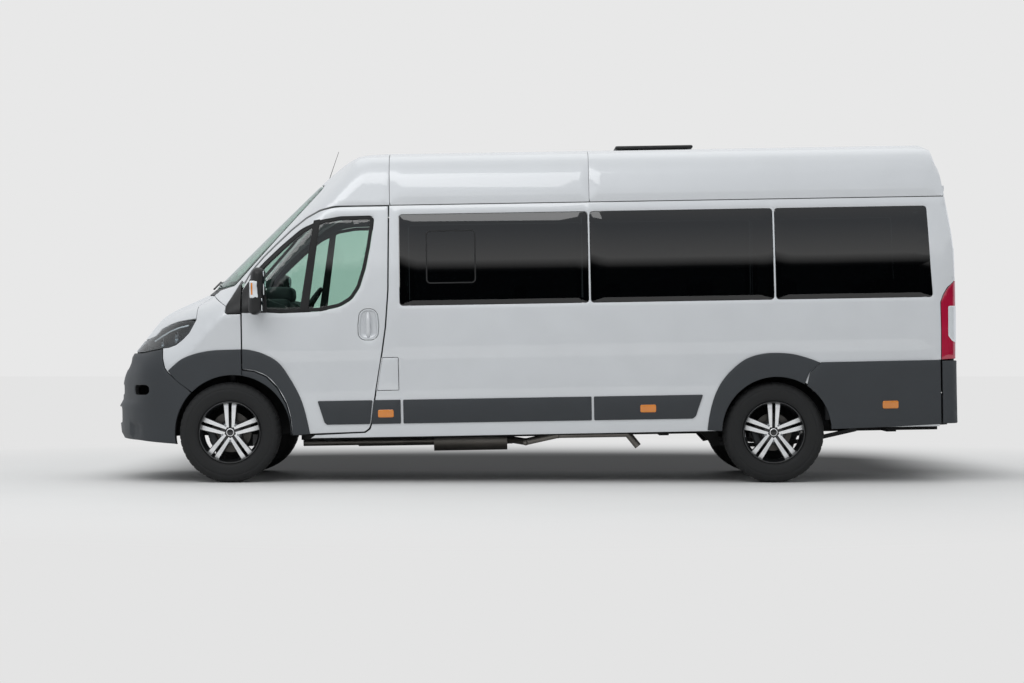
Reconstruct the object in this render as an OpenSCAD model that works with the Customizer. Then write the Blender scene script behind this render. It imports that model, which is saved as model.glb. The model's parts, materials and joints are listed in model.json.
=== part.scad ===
// Minibus with a long wheelbase and a medium-high roof, as an assembly of separate pieces.
// Millimetres. Front toward -X, left side toward -Y, up +Z, origin on the ground at mid length.
// The bodywork stands slightly nose-down on its springs; wheels and axles stay upright.

/* [Overall] */
// Distance between the front and rear axles
wheelbase = 4035; // [3600:5:4400]
// From the front axle to the tip of the front bumper
front_overhang = 948; // [850:1:1050]
// From the rear axle to the back of the rear bumper
rear_overhang = 1380; // [1250:5:1500]
// Width over the side panels
body_w = 2050; // [1900:5:2200]
// Height of the roof crown above the ground at the front axle
roof_z = 2452; // [2380:1:2520]
// Nose-down angle of the bodywork when empty
rake = 0.96; // [0:0.01:2]

/* [Panels] */
// Thickness of a whole side wall, door or roof
wall_t = 60; // [50:1:66]
// Thickness of the bonnet and the front wings
wing_t = 36; // [25:1:50]
// Thickness of a pane
glass_t = 8; // [5:0.5:12]
// Width of the bonded border behind a pane
pane_border = 45; // [30:1:60]
// Height of the plastic cladding over the panels
cladding_t = 10; // [6:1:15]
// Shut-line gap around a piece that opens
shut_gap = 6; // [5.5:0.5:8]
// Lowest edge of the side panels
sill_z = 310; // [290:1:340]
// Top of the side panels, where the roof begins
gutter_z = 2040; // [2020:1:2070]

/* [Side windows] */
// Lower edge of the side glass
belt_z = 1290; // [1250:1:1330]
// Upper edge of the side glass
pane_top_z = 1968; // [1920:1:2000]

/* [Wheels] */
// Outside diameter of a tyre
tyre_d = 744; // [700:1:770]
// Width of a tyre
tyre_w = 225; // [205:1:245]
// Diameter of the rim where the tyre seats
rim_d = 428; // [400:1:450]
// Distance between the front wheel centres
front_track = 1790; // [1740:1:1810]
// Distance between the rear wheel centres
rear_track = 1776; // [1730:1:1800]
// Room between a front tyre and its arch
front_arch_gap = 58; // [48:1:72]
// Room between a rear tyre and its arch
rear_arch_gap = 33; // [26:1:42]
// Pairs of spokes in a wheel
spoke_pairs = 5; // [4:1:7]

/* [Doors] */
// Rear shut line of the front doors at the gutter
door_rear_x = 1206; // [1180:1:1230]
// Rear end of the sliding door opening
slider_end_x = 2692; // [2600:1:2692]
// Outer edge of the rear doors from the centre line
rear_door_half_w = 880; // [840:1:900]
// Lower edge of the rear doors
rear_door_z = 566; // [540:1:600]
// Upper edge of the rear doors
rear_door_top_z = 2250; // [2200:1:2290]
// Gap between the meeting edges of the rear doors
meet_gap = 9; // [8.5:0.5:12]

/* [Hidden] */
$fn = 72;
front_x = -(front_overhang + wheelbase + rear_overhang) / 2 + front_overhang;
rear_x = front_x + wheelbase;
half_w = body_w / 2;
wheel_r = tyre_d / 2;
front_arch_r = wheel_r + front_arch_gap;
rear_arch_r = wheel_r + rear_arch_gap;
rear_end = wheelbase + rear_overhang;
tail_x = rear_end - 3;
header_x = 820;

// ---- frames and prisms ----

// Bodywork coordinates: x behind the front axle, z over the ground line at the front axle
module sprung() {
  translate([front_x, 0, 0])
    rotate([0, -rake, 0])
      children();
}

module both_sides() {
  children();
  mirror([0, 1, 0])
    children();
}

// Outline in x and z, drawn out across the vehicle from y0 to y1
module side_prism(points, y0, y1) {
  translate([0, y1, 0])
    rotate([90, 0, 0])
      linear_extrude(y1 - y0)
        polygon(points);
}

// Outline in y and z, drawn out along the vehicle from x0 to x1
module cross_prism(points, x0, x1) {
  translate([x0, 0, 0])
    rotate([90, 0, 90])
      linear_extrude(x1 - x0)
        polygon(points);
}

module block(x, y, z) {
  translate([x[0], y[0], z[0]])
    cube([x[1] - x[0], y[1] - y[0], z[1] - z[0]]);
}

// Round bar lying across the vehicle
module cross_bar(x, z, r, y0, y1) {
  translate([x, y1, z])
    rotate([90, 0, 0])
      cylinder(h = y1 - y0, r = r);
}

function arc(cx, cy, r, a0, a1, n) =
  [for (i = [0 : n]) [cx + r * cos(a0 + (a1 - a0) * i / n), cy + r * sin(a0 + (a1 - a0) * i / n)]];

function flip(points) = [for (i = [len(points) - 1 : -1 : 0]) [-points[i][0], points[i][1]]];

// Outline drawn in by t on every side
function shrunk(points, mid, half, t) =
  [for (p = points) [mid[0] + (p[0] - mid[0]) * (half[0] - t) / half[0],
                     mid[1] + (p[1] - mid[1]) * (half[1] - t) / half[1]]];

// ---- the shape of the bodywork ----

top = roof_z;
base_z = 250;

// Centre line seen from the side
nose_line = [
  [-850, base_z], [-900, 400], [-935, 500], [-948, 560], [-942, 610], [-908, 645],
  [-900, 760], [-880, 850], [-838, 905], [-812, 965], [-755, 1035], [-712, 1085],
  [-655, 1160], [-600, 1222], [-545, 1262], [-460, 1300], [-345, 1345], [-210, 1408]
];
screen_line = [
  [500, 2096], [575, 2158], [650, 2214], [715, 2260], [785, 2308], [865, 2362],
  [950, 2404], [1040, 2428], [1180, 2442], [1400, 2450]
];
tail_line = [
  [-190, 2450], [-215, 2436], [-160, 2395], [-130, 2330], [-104, 2230], [-74, 2065],
  [-44, 1900], [-20, 1760], [-7, 1640], [0, 1410], [-3, 1116], [-12, 815], [-12, base_z]
];
side_line = concat(nose_line, screen_line,
  [[2600, top], [4300, top]],
  [for (i = [0 : len(tail_line) - 1]) if (i != 1) [tail_x + tail_line[i][0], tail_line[i][1]]]);
side_mid = [(tail_x - front_overhang) / 2, (top + base_z) / 2];
side_half = [(tail_x + front_overhang) / 2, (top - base_z) / 2];

// Half section: distance of each height from the middle, less the greatest half width
flank = [
  [-25, base_z], [-13, 330], [0, 620], [0, 950], [-15, 1280], [-48, 1640], [-90, 1980],
  [-114, 2140], [-132, 2250], [-152, 2318], [-186, 2370], [-246, 2408], [-370, 2434], [-620, 2448]
];
section_right = [for (p = flank) [half_w + p[0], p[1]]];
section_line = concat(section_right, [[0, top]], flip(section_right));
section_mid = [0, (top + base_z) / 2];
section_half = [half_w, (top - base_z) / 2];

// Half plan, from the middle of the nose round to the tail
plan_half = [
  [-948, 0], [-922, -half_w + 845], [-890, -half_w + 675], [-852, -half_w + 525], [-798, -half_w + 385],
  [-724, -half_w + 265], [-632, -half_w + 175], [-518, -half_w + 105], [-372, -half_w + 55],
  [-180, -half_w + 25], [60, -half_w + 9], [320, -half_w],
  [tail_x - 215, -half_w], [tail_x - 110, -half_w + 6], [tail_x - 50, -half_w + 30],
  [tail_x - 14, -half_w + 80], [tail_x, -half_w + 160]
];
plan_line = concat(plan_half, [for (i = [len(plan_half) - 1 : -1 : 1]) [plan_half[i][0], -plan_half[i][1]]]);
plan_mid = [(tail_x - front_overhang) / 2, 0];
plan_size = [(tail_x + front_overhang) / 2, half_w];

// Bowed face that the windscreen and the bonnet follow
screen_slope = 44;
screen_foot = [-210, 1408];
bow = [[0, 0], [14, half_w - 725], [42, half_w - 505], [92, half_w - 305], [150, half_w - 175],
  [215, half_w - 85], [330, half_w + 5]];

bonnet_slope = 23;
bonnet_bow = [[0, 0], [8, half_w - 725], [26, half_w - 525], [56, half_w - 325], [96, half_w - 175],
  [150, half_w - 65], [210, half_w + 15]];

// Everything behind and under a bowed face that rises at the given slope
module bowed_space(line, slope, foot, t) {
  translate([foot[0], 0, foot[1]])
    rotate([0, 90 - slope, 0])
      translate([t, 0, -3000])
        linear_extrude(11000)
          polygon(concat([for (i = [len(line) - 1 : -1 : 1]) [line[i][0], -line[i][1]]], line,
            [[7000, 1500], [7000, -1500]]));
}

// Bowed face that rounds the corners of the nose
nose_slope = 50;
nose_foot = [-712, 1085];
nose_bow = [[0, 0], [14, half_w - 725], [44, half_w - 525], [84, half_w - 385], [138, half_w - 265],
  [200, half_w - 175], [285, half_w - 105], [380, half_w - 50], [480, half_w + 15]];

module screen_space(t) {
  union() {
    bowed_space(bow, screen_slope, screen_foot, t);
    bowed_space(bonnet_bow, bonnet_slope, screen_foot, t);
  }
}

// The whole body as one solid, drawn in by t
module body_form(t = 0) {
  intersection() {
    side_prism(shrunk(side_line, side_mid, side_half, t), -half_w - 50, half_w + 50);
    cross_prism(shrunk(section_line, section_mid, section_half, t), -1200, rear_end + 200);
    linear_extrude(3000)
      polygon(shrunk(plan_line, plan_mid, plan_size, t));
    screen_space(t);
    bowed_space(nose_bow, nose_slope, nose_foot, t);
  }
}

// Panel of thickness t wherever the children reach
module skin(t, out = 0) {
  difference() {
    intersection() {
      body_form(-out);
      children();
    }
    body_form(t);
  }
}

// ---- outlines of the openings, in x and z ----

door_line = [
  [110, 836], [110, 1425], [130, 1476], [182, 1572], [272, 1674], [370, 1768], [483, 1870],
  [595, 1954], [700, 2008], [790, 2028], [860, 2034], [door_rear_x, 2034],
  [door_rear_x - 12, 1407], [door_rear_x - 34, 1134], [door_rear_x - 62, 949],
  [door_rear_x - 110, 673], [door_rear_x - 128, 560], [door_rear_x - 146, 430],
  [door_rear_x - 162, 385], [door_rear_x - 198, 360],
  [510, 350], [488, 480], [448, 590], [384, 706], [300, 792], [205, 832]
];
door_mid = [650, 1190];
door_half = [548, 842];
door_pane = [
  [60, 1268], [180, 1262], [400, 1250], [690, 1258], [840, 1288], [930, 1340], [990, 1430],
  [1035, 1570], [1068, 1730], [1092, 1880], [1094, 1925], [1078, 1955], [1045, 1962],
  [850, 1960], [706, 1936], [557, 1874], [407, 1752], [294, 1650], [200, 1556], [166, 1500],
  [154, 1440], [150, 1360]
];
door_hole = [
  [210, 1310], [690, 1306], [820, 1330], [900, 1380], [950, 1460], [992, 1600], [1020, 1740],
  [1040, 1870], [1036, 1902], [1010, 1914], [860, 1912], [722, 1890], [580, 1830],
  [440, 1716], [330, 1616], [250, 1530], [215, 1460]
];
slider_line = [
  [door_rear_x + 34, 345], [door_rear_x + 24, 2030], [slider_end_x - 6, 2030],
  [slider_end_x, 1300], [slider_end_x - 4, 345]
];
flap_line = [[1146, 908], [1266, 908], [1268, 664], [1104, 664]];

// Side panes: first and last x along the belt
panes = [
  [1283, 2684, 0], // front pane, with the sliding light
  [2700, wheelbase + 21, 0], // middle pane
  [wheelbase + 37, rear_end - 215, 30] // rear pane, slanted at the back
];
function pane_line(p, inset) = [
  [p[0] + inset, belt_z + inset], [p[1] + p[2] - inset, belt_z + inset],
  [p[1] - inset, pane_top_z - inset], [p[0] + inset, pane_top_z - inset]
];

// Corners where the headlamp meets the wing and the bumper
lamp_to_wing = [[-240, 1196], [-290, 1114], [-339, 1066], [-389, 1028], [-444, 1012], [-491, 1012]];
lamp_to_bumper = [[-497, 998], [-660, 966], [-760, 966]];
headlamp_line = concat(
  [[-760, 1039], [-640, 1059], [-574, 1080], [-524, 1134], [-450, 1166], [-385, 1186], [-305, 1197]],
  lamp_to_wing, lamp_to_bumper);
bonnet_line = [
  [-214, 1327], [-240, 1214], [-305, 1206], [-385, 1196], [-450, 1176], [-524, 1144],
  [-574, 1092], [-640, 1070], [-760, 1050], [-1000, 1050], [-1000, 1600], [-208, 1600]
];
bumper_line = [
  [-1000, 334], [-1000, 966], [-660, 966], [-497, 998], [-491, 930], [-474, 858],
  [-450, 825], [-380, 762], [-300, 700], [-352, 612], [-390, 522], [-405, 440], [-396, 290],
  [-700, 318], [-868, 334]
];
// Top of the wings, where the windscreen frame stands on them
scuttle_line = [[104, 1486], [-150, 1486], [-205, 1400]];
wing_line = concat(lamp_to_wing,
  [[-497, 998], [-491, 930], [-474, 858], [-450, 825], [-380, 762], [-300, 700], [104, 700]],
  scuttle_line, [[-205, 1327], [-232, 1208]]);
wing_end_x = 104;
bumper_back_x = -300;
door_clear = 12;
front_arch = [32, 367];
rear_arch = [wheelbase + 23, 312];
wheel_gap = 32;

// Screen opening seen from the front
screen_pane = concat(
  [[-830, 1462], [-600, 1448], [0, 1440], [600, 1448], [830, 1462]],
  [[806, 1560], [700, 2090], [680, 2170], [640, 2214], [0, 2236], [-640, 2214], [-680, 2170],
   [-700, 2090], [-806, 1560]]);
screen_hole = concat(
  [[-760, 1512], [0, 1494], [760, 1512]],
  [[640, 2110], [600, 2160], [0, 2180], [-600, 2160], [-640, 2110]]);

module front_wells(r, y0) {
  both_sides()
    cross_bar(front_arch[0], front_arch[1], r, -half_w - 60, -y0);
}

module rear_wells(r, y0) {
  both_sides()
    cross_bar(rear_arch[0], rear_arch[1], r, -half_w - 60, -y0);
}

// ---- floor and fixed bodywork ----

floor_z = 400;
floor_t = 60;
well_inner_y = 565;
well_t = 16;
firewall_x = -170;
cab_end_x = 1030;
bumper_t = 70;
spring_y = 560;

module underbody() {
  color("DimGray")
    sprung()
      difference() {
        union() {
          block([firewall_x, cab_end_x], [-half_w + 86, half_w - 86], [floor_z - floor_t, floor_z]);
          intersection() {
            block([cab_end_x, rear_end], [-half_w, half_w], [floor_z - floor_t, floor_z]);
            body_form(wall_t);
          }
          // sills inside the side panels
          both_sides()
            block([560, wheelbase - 475], [-half_w + 86, -half_w + 130], [sill_z, floor_z]);
          // beam behind the front bumper, rails and the panel that carries the radiator
          intersection() {
            union() {
              block([-900, -760], [-520, 520], [470, 600]);
              block([-800, -760], [-520, 520], [floor_z - floor_t, 980]);
              both_sides()
                block([-790, firewall_x], [-500, -410], [floor_z - floor_t, 480]);
            }
            body_form(bumper_t);
          }
          // front hangers of the leaf springs
          both_sides()
            spring_hanger();
          // fire wall between the engine bay and the cab
          intersection() {
            block([firewall_x, firewall_x + 40], [-920, 920], [floor_z - floor_t, 1400]);
            body_form(wall_t);
          }
          // rails and cross members under the floor
          both_sides()
            block([500, rear_end - 90], [-500, -420], [290, floor_z - floor_t]);
          for (x = [700, 2300, 3200, wheelbase + 865])
            block([x, x + 70], [-800, 800], [290, floor_z - floor_t]);
          // fuel tank
          block([900, 2100], [60, 415], [215, floor_z - floor_t]);
          // wheel houses
          wheel_house(front_arch, front_arch_r + wheel_gap, well_inner_y, bumper_t, [-600, bumper_back_x]);
          wheel_house(front_arch, front_arch_r + wheel_gap, well_inner_y, wing_t, [bumper_back_x, wing_end_x]);
          wheel_house(front_arch, front_arch_r + wheel_gap, well_inner_y, wall_t + door_clear, [wing_end_x, 600]);
          wheel_house(rear_arch, rear_arch_r + wheel_gap, 620, wall_t, [wheelbase - 535, wheelbase + 665]);
        }
        front_wells(front_arch_r + wheel_gap, well_inner_y);
        rear_wells(rear_arch_r + wheel_gap, 620);
      }
}

module spring_hanger() {
  side_prism([[wheelbase - 548, floor_z - floor_t], [wheelbase - 387, floor_z - floor_t],
    [wheelbase - 371, 200], [wheelbase - 415, 192]], -spring_y - 45, -spring_y + 45);
}

// Upper half of a wheel house, before the wheel space is cut out of it
module wheel_house(c, r, y0, t, reach) {
  both_sides()
    intersection() {
      cross_bar(c[0], c[1], r + well_t, -half_w, -y0 + well_t);
      block(reach, [-half_w, 0], [floor_z - floor_t, 1000]);
      body_form(t);
    }
}

module side_wall_left() {
  difference() {
    skin(wall_t)
      side_prism([
        [door_rear_x + shut_gap, gutter_z], [door_rear_x - 6, 1407], [door_rear_x - 28, 1134],
        [door_rear_x - 56, 949], [door_rear_x - 104, 673], [door_rear_x - 122, 560],
        [door_rear_x - 140, 430], [door_rear_x - 156, 380], [door_rear_x - 194, 353],
        [620, 343], [600, sill_z], [rear_end + 100, sill_z + 20], [rear_end + 100, gutter_z]
      ], -half_w - 40, -rear_door_half_w - shut_gap);
    side_prism(arc(rear_arch[0], rear_arch[1], rear_arch_r + 10, 0, 360, 72), -half_w - 60, -600);
    for (p = panes) {
      intersection() {
        side_prism(pane_line(p, 0), -half_w - 40, 0);
        pane_depth();
      }
      side_prism(pane_line(p, pane_border), -half_w - 60, -600);
    }
    // rear doors reach round the top of the tail
    tail_lamp_space();
    rear_bumper_space();
  }
}

// Outer layer of the body that a pane takes up
module pane_depth() {
  difference() {
    block([-1300, rear_end + 300], [-half_w - 90, half_w + 90], [0, 3000]);
    body_form(glass_t);
  }
}

corner_top_z = 819;

module tail_lamp_space() {
  side_prism(tail_lamp_line, -half_w - 60, -rear_door_half_w);
}

tail_lamp_line = [
  [rear_end - 133, corner_top_z], [rear_end + 60, corner_top_z], [rear_end + 60, 1412],
  [rear_end - 18, 1408], [rear_end - 70, 1362], [rear_end - 106, 1306], [rear_end - 126, 1250]
];

module rear_bumper_space() {
  block([rear_end - 133, rear_end + 100], [-half_w - 60, -rear_door_half_w], [200, corner_top_z]);
}

module left_side_wall() {
  color("WhiteSmoke")
    sprung()
      difference() {
        side_wall_left();
        side_prism(flap_line_out(), -half_w - 60, -half_w + 30);
      }
}

function flap_line_out() = [[1140, 914], [1272, 914], [1274, 658], [1097, 658]];

module right_side_wall() {
  color("WhiteSmoke")
    sprung()
      mirror([0, 1, 0])
        difference() {
          side_wall_left();
          side_prism(slider_line, -half_w - 60, -half_w + 200);
        }
}

module roof() {
  color("WhiteSmoke")
    sprung()
      difference() {
        union() {
          skin(wall_t)
            side_prism([[header_x, gutter_z], [rear_end + 100, gutter_z], [rear_end + 100, 2700], [header_x, 2700]],
              -half_w - 40, half_w + 40);
          // raised frame round the hatch
          block(hatch_x, hatch_y, [roof_z - wall_t, roof_z + 12]);
        }
        block([hatch_x[0] + 40, hatch_x[1] - 40], [hatch_y[0] + 40, hatch_y[1] - 40], [roof_z - 200, roof_z + 100]);
        // opening for the rear doors
        block([rear_end - 400, rear_end + 100], [-rear_door_half_w - shut_gap, rear_door_half_w + shut_gap],
          [gutter_z - 50, rear_door_top_z + shut_gap]);
      }
}

hatch_x = [wheelbase - 1110, wheelbase - 515];
hatch_y = [-300, 300];

module cab_frame() {
  color("WhiteSmoke")
    sprung()
      difference() {
        skin(wall_t)
          union() {
            side_prism(concat(scuttle_line, [[-205, 2700], [header_x, 2700], [header_x, gutter_z], [860, gutter_z],
              [104, 1425]]), -half_w - 40, half_w + 40);
            // scuttle between the wings
            side_prism([[-205, 1300], [104, 1300], [104, 1490], [-205, 1490]], -700, 700);
          }
        side_prism(shrunk(door_line, door_mid, door_half, -shut_gap - 3), -half_w - 60, half_w + 60);
        cross_prism(screen_hole, -400, 1000);
        intersection() {
          cross_prism(screen_pane, -400, 1000);
          pane_depth();
        }
      }
}

module windscreen() {
  color("LightSteelBlue", 0.4)
    sprung()
      intersection() {
        skin(glass_t)
          cross_prism(screen_pane, -400, header_x);
        block([-400, header_x], [-half_w, half_w], [1400, 2300]);
      }
}

module front_wings() {
  color("WhiteSmoke")
    sprung()
      both_sides()
        difference() {
          skin(wing_t)
            side_prism(wing_line, -half_w - 40, -700);
          cross_bar(front_arch[0], front_arch[1], front_arch_r + 12, -half_w - 60, -600);
          // the lower corner of the windscreen lies in the wing
          intersection() {
            cross_prism(screen_pane, -400, 1000);
            pane_depth();
          }
        }
}

module bonnet() {
  color("WhiteSmoke")
    sprung()
      skin(wing_t)
        side_prism(bonnet_line, -half_w - 40, half_w + 40);
}

module grille() {
  color("DimGray")
    sprung()
      difference() {
        intersection() {
          body_form(6);
          block([-1000, -400], [-560, 560], [966, 1042]);
        }
        body_form(40);
      }
}

module headlamps() {
  color("Silver")
    sprung()
      both_sides()
        difference() {
          skin(120)
            side_prism(headlamp_line, -half_w - 40, -560);
          cross_bar(front_arch[0], front_arch[1], front_arch_r + 60, -half_w - 60, -500);
        }
}

module front_bumper() {
  color("DimGray")
    sprung()
      difference() {
        skin(bumper_t, cladding_t)
          side_prism(bumper_line, -half_w - 40, half_w + 40);
        cross_bar(front_arch[0], front_arch[1], front_arch_r, -half_w - 60, -600);
        cross_bar(front_arch[0], front_arch[1], front_arch_r, 600, half_w + 60);
        // lower air intake
        block([-1100, -500], [-430, 430], [440, 560]);
        // socket for the front towing eye
        translate([-1000, tow_eye[1], tow_eye[2]])
          rotate([0, 90, 0])
            cylinder(h = 200, r = tow_eye_r);
      }
}

tow_eye = [-948, 560, 500];
tow_eye_r = 12;

module tail_lamps() {
  color("DarkRed")
    sprung()
      both_sides()
        skin(wall_t)
          side_prism(tail_lamp_line, -half_w - 60, -rear_door_half_w - shut_gap);
}

module rear_bumper() {
  color("DimGray")
    sprung()
      difference() {
        intersection() {
          body_form(-cladding_t);
          block([rear_end - 133, rear_end + 60], [-half_w - 60, half_w + 60], [345, corner_top_z]);
        }
        body_form(wall_t);
        block([rear_end - 200, rear_end + 100], [-rear_door_half_w - shut_gap, rear_door_half_w + shut_gap],
          [rear_door_z - shut_gap, 1000]);
      }
}

// ---- plastic cladding on the fixed bodywork ----

front_flare = [
  [-447, 837], [-406, 872], [-341, 920], [-244, 958], [-124, 980], [13, 985], [104, 984],
  [104, 700], [-294, 700], [-444, 825]
];
rear_flare = [
  [-490, 330], [-474, 436], [-436, 576], [-378, 688], [-291, 785], [-191, 855], [-77, 888],
  [50, 893], [163, 880], [275, 847], [346, 814], [1240, 818], [1240, 348], [300, 330]
];

module body_cladding() {
  color("DimGray")
    sprung() {
      both_sides()
        difference() {
          skin(0, cladding_t)
            union() {
              side_prism(front_flare, -half_w - 40, -700);
              side_prism([for (p = rear_flare) [wheelbase + min(p[0], rear_overhang - 139), p[1]]],
                -half_w - 40, -700);
              side_prism([[2702, 594], [wheelbase - 519, 594], [wheelbase - 589, 418], [2702, 418]],
                -half_w - 40, -700);
            }
          cross_bar(front_arch[0], front_arch[1], front_arch_r, -half_w - 60, -600);
          cross_bar(rear_arch[0], rear_arch[1], rear_arch_r, -half_w - 60, -600);
        }
      skin(0, cladding_t)
        side_prism([[1290, 594], [2692, 594], [2692, 418], [1290, 418]], -half_w - 40, -700);
    }
}

// ---- doors ----

module front_door_left() {
  difference() {
    union() {
      skin(wall_t)
        side_prism(door_line, -half_w - 40, -600);
      skin(0, cladding_t)
        side_prism([[664, 592], [1060, 592], [1040, 418], [734, 418]], -half_w - 40, -700);
    }
    intersection() {
      side_prism(door_pane_clipped(), -half_w - 60, -600);
      pane_depth();
    }
    side_prism(door_hole, -half_w - 60, -600);
  }
}

function door_pane_clipped() = [for (p = door_pane) [max(p[0], 150), p[1]]];

module front_door_glass_left() {
  skin(glass_t)
    side_prism(door_pane_clipped(), -half_w - 40, -600);
}

module left_front_door() {
  color("WhiteSmoke")
    sprung()
      front_door_left();
}

module right_front_door() {
  color("WhiteSmoke")
    sprung()
      mirror([0, 1, 0])
        front_door_left();
}

module left_front_door_glass() {
  color("LightSteelBlue", 0.4)
    sprung()
      front_door_glass_left();
}

module right_front_door_glass() {
  color("LightSteelBlue", 0.4)
    sprung()
      mirror([0, 1, 0])
        front_door_glass_left();
}

// Door mirror: foot on the door, arm and housing
mirror_reach = 1254;
module mirror_left() {
  union() {
    block([172, 300], [-mirror_reach, -mirror_reach + 190], [1250, 1570]);
    block([185, 262], [-mirror_reach + 180, -960], [1262, 1310]);
    block([185, 262], [-mirror_reach + 180, -940], [1450, 1500]);
  }
}

module left_mirror() {
  color("DimGray")
    sprung()
      difference() {
        mirror_left();
        body_form(0);
      }
}

module right_mirror() {
  color("DimGray")
    sprung()
      mirror([0, 1, 0])
        difference() {
          mirror_left();
          body_form(0);
        }
}

module sliding_door() {
  color("WhiteSmoke")
    sprung()
      mirror([0, 1, 0])
        difference() {
          union() {
            skin(wall_t)
              side_prism(shrunk(slider_line, [1960, 1187], [732, 842], 3), -half_w - 40, -600);
            skin(0, cladding_t)
              side_prism([[1290, 594], [2684, 594], [2684, 418], [1290, 418]], -half_w - 40, -700);
          }
          intersection() {
            side_prism(pane_line(panes[0], 0), -half_w - 60, -600);
            pane_depth();
          }
          side_prism(pane_line(panes[0], pane_border), -half_w - 60, -600);
        }
}

module side_windows() {
  color("DarkSlateGray", 0.6)
    sprung()
      both_sides()
        for (p = panes)
          skin(glass_t)
            side_prism(pane_line(p, 0), -half_w - 40, -600);
}

// Rear door on the left: a slab across the tail, seen from behind
module rear_door_left() {
  difference() {
    union() {
      skin(meet_flange_t)
        block(rear_door_x, [-rear_door_half_w, -meet_gap / 2], [rear_door_z, rear_door_top_z]);
      // the door's box stands back from its meeting edge, so that the doors swing past each other
      skin(wall_t)
        block(rear_door_x, [-rear_door_half_w, -meet_gap / 2 - meet_step], [rear_door_z, rear_door_top_z]);
    }
    cross_prism(rear_hole, rear_end - 300, rear_end + 100);
    intersection() {
      cross_prism(rear_pane, rear_end - 300, rear_end + 100);
      pane_depth();
    }
  }
}

rear_door_x = [rear_end - 260, rear_end + 60];
meet_flange_t = 22;
meet_step = 14;
rear_pane = [[-800, 1310], [-60, 1310], [-60, 1990], [-740, 1990], [-765, 1960], [-800, 1500]];
rear_hole = [[-740, 1370], [-120, 1370], [-120, 1930], [-700, 1930]];

module left_rear_door() {
  color("WhiteSmoke")
    sprung()
      rear_door_left();
}

module right_rear_door() {
  color("WhiteSmoke")
    sprung()
      mirror([0, 1, 0])
        rear_door_left();
}

module rear_glass_left() {
  skin(glass_t)
    intersection() {
      cross_prism(rear_pane, rear_end - 300, rear_end + 100);
      block([rear_end - 300, rear_end + 60], [-rear_door_half_w, 0], [1000, 2200]);
    }
}

module left_rear_door_glass() {
  color("DarkSlateGray", 0.6)
    sprung()
      rear_glass_left();
}

module right_rear_door_glass() {
  color("DarkSlateGray", 0.6)
    sprung()
      mirror([0, 1, 0])
        rear_glass_left();
}

module roof_hatch_lid() {
  color("DimGray")
    sprung()
      difference() {
        union() {
          block(hatch_x, hatch_y, [roof_z + 18, roof_z + 32]);
          block([hatch_x[0] + 25, hatch_x[1] - 25], [hatch_y[0] + 25, hatch_y[1] - 25], [roof_z + 32, roof_z + 44]);
        }
      }
}

module fuel_flap() {
  color("WhiteSmoke")
    sprung()
      skin(22)
        side_prism(flap_line, -half_w - 40, -700);
}

// ---- running gear ----

module engine() {
  color("Gray")
    sprung()
      block([-640, -260], [-410, 410], [420, 1000]);
}

module front_suspension() {
  color("DarkGray")
    sprung()
      union() {
        // cross member under the rails
        block([-160, 130], [-500, 500], [250, floor_z - floor_t]);
        both_sides() {
          // lower arm
          block([-30, 60], [-745, -400], [262, 300]);
          // strut up to the wheel house
          translate([6, -685, 280])
            cylinder(h = front_arch[1] + front_arch_r + wheel_gap - 280, r = 34);
        }
      }
}

king_pin_y = front_track / 2 - 20;

// Hub, brake disc and upright; the wheel turns on the hub's end
module knuckle_form() {
  union() {
    translate([0, 0, -110])
      cylinder(h = 110 + hub_face - 46, r = 62);
    translate([0, 0, -54])
      cylinder(h = 26, r = 150);
    translate([-45, -150, -120])
      cube([90, 300, 36]);
  }
}

module left_knuckle() {
  color("Gray")
    at_wheel(front_x, -1, front_track)
      knuckle_form();
}

module right_knuckle() {
  color("Gray")
    at_wheel(front_x, 1, front_track)
      knuckle_form();
}

beam_z = 212;
module rear_axle() {
  color("DarkGray")
    union() {
      sprung()
        union() {
          block([wheelbase - 40, wheelbase + 50], [-700, 700], [beam_z, beam_z + 64]);
          both_sides() {
            // plate that carries the hub
            block([wheelbase - 50, wheelbase + 60], [-760, -700], [beam_z, beam_z + 150]);
            difference() {
              leaf_spring();
              spring_hanger();
            }
            // shackle at the rear end of the spring
            block([wheelbase + 625, wheelbase + 665], [-spring_y - 30, -spring_y + 30], [300, floor_z - floor_t]);
          }
        }
      for (side = [-1, 1])
        at_wheel(rear_x, side, rear_track) {
          translate([0, 0, -150])
            cylinder(h = 150 + hub_face - 46, r = 62);
          translate([0, 0, -54])
            cylinder(h = 26, r = 140);
        }
    }
}

leaf_line = [[-399, 204], [-185, 188], [5, 182], [315, 216], [665, 290], [661, 318], [315, 244],
  [5, beam_z], [-185, 216], [-403, 228]];
module leaf_spring() {
  side_prism([for (p = leaf_line) [wheelbase + p[0], p[1]]], -spring_y - 35, -spring_y + 35);
}

// Exhaust run: x, y and z of each bend
pipe_r = 26;
bend_lip = 2;
exhaust_run = [[500, -300, 262], [2080, -300, 262], [2200, -860, 262], [2440, -860, 311],
  [2960, -860, 311], [3036, -870, 214]];

module pipe_piece(a, b) {
  d = b - a;
  h = norm(d);
  translate(a)
    rotate([0, acos(d[2] / h), atan2(d[1], d[0])])
      cylinder(h = h, r = pipe_r);
}

module exhaust() {
  color("DarkGray")
    sprung()
      union() {
        for (i = [0 : len(exhaust_run) - 2])
          pipe_piece(exhaust_run[i], exhaust_run[i + 1]);
        for (i = [1 : len(exhaust_run) - 2])
          translate(exhaust_run[i])
            sphere(r = pipe_r + bend_lip);
        // silencer against the floor
        translate([1500, -300, 262])
          rotate([0, 90, 0])
            cylinder(h = 560, r = floor_z - floor_t - 262);
      }
}

// ---- wheels ----

module at_wheel(x, side, track) {
  translate([x, side * track / 2, wheel_r])
    rotate([90, 0, 0])
      mirror([0, 0, side > 0 ? 1 : 0])
        children();
}

hub_face = 70;

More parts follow.
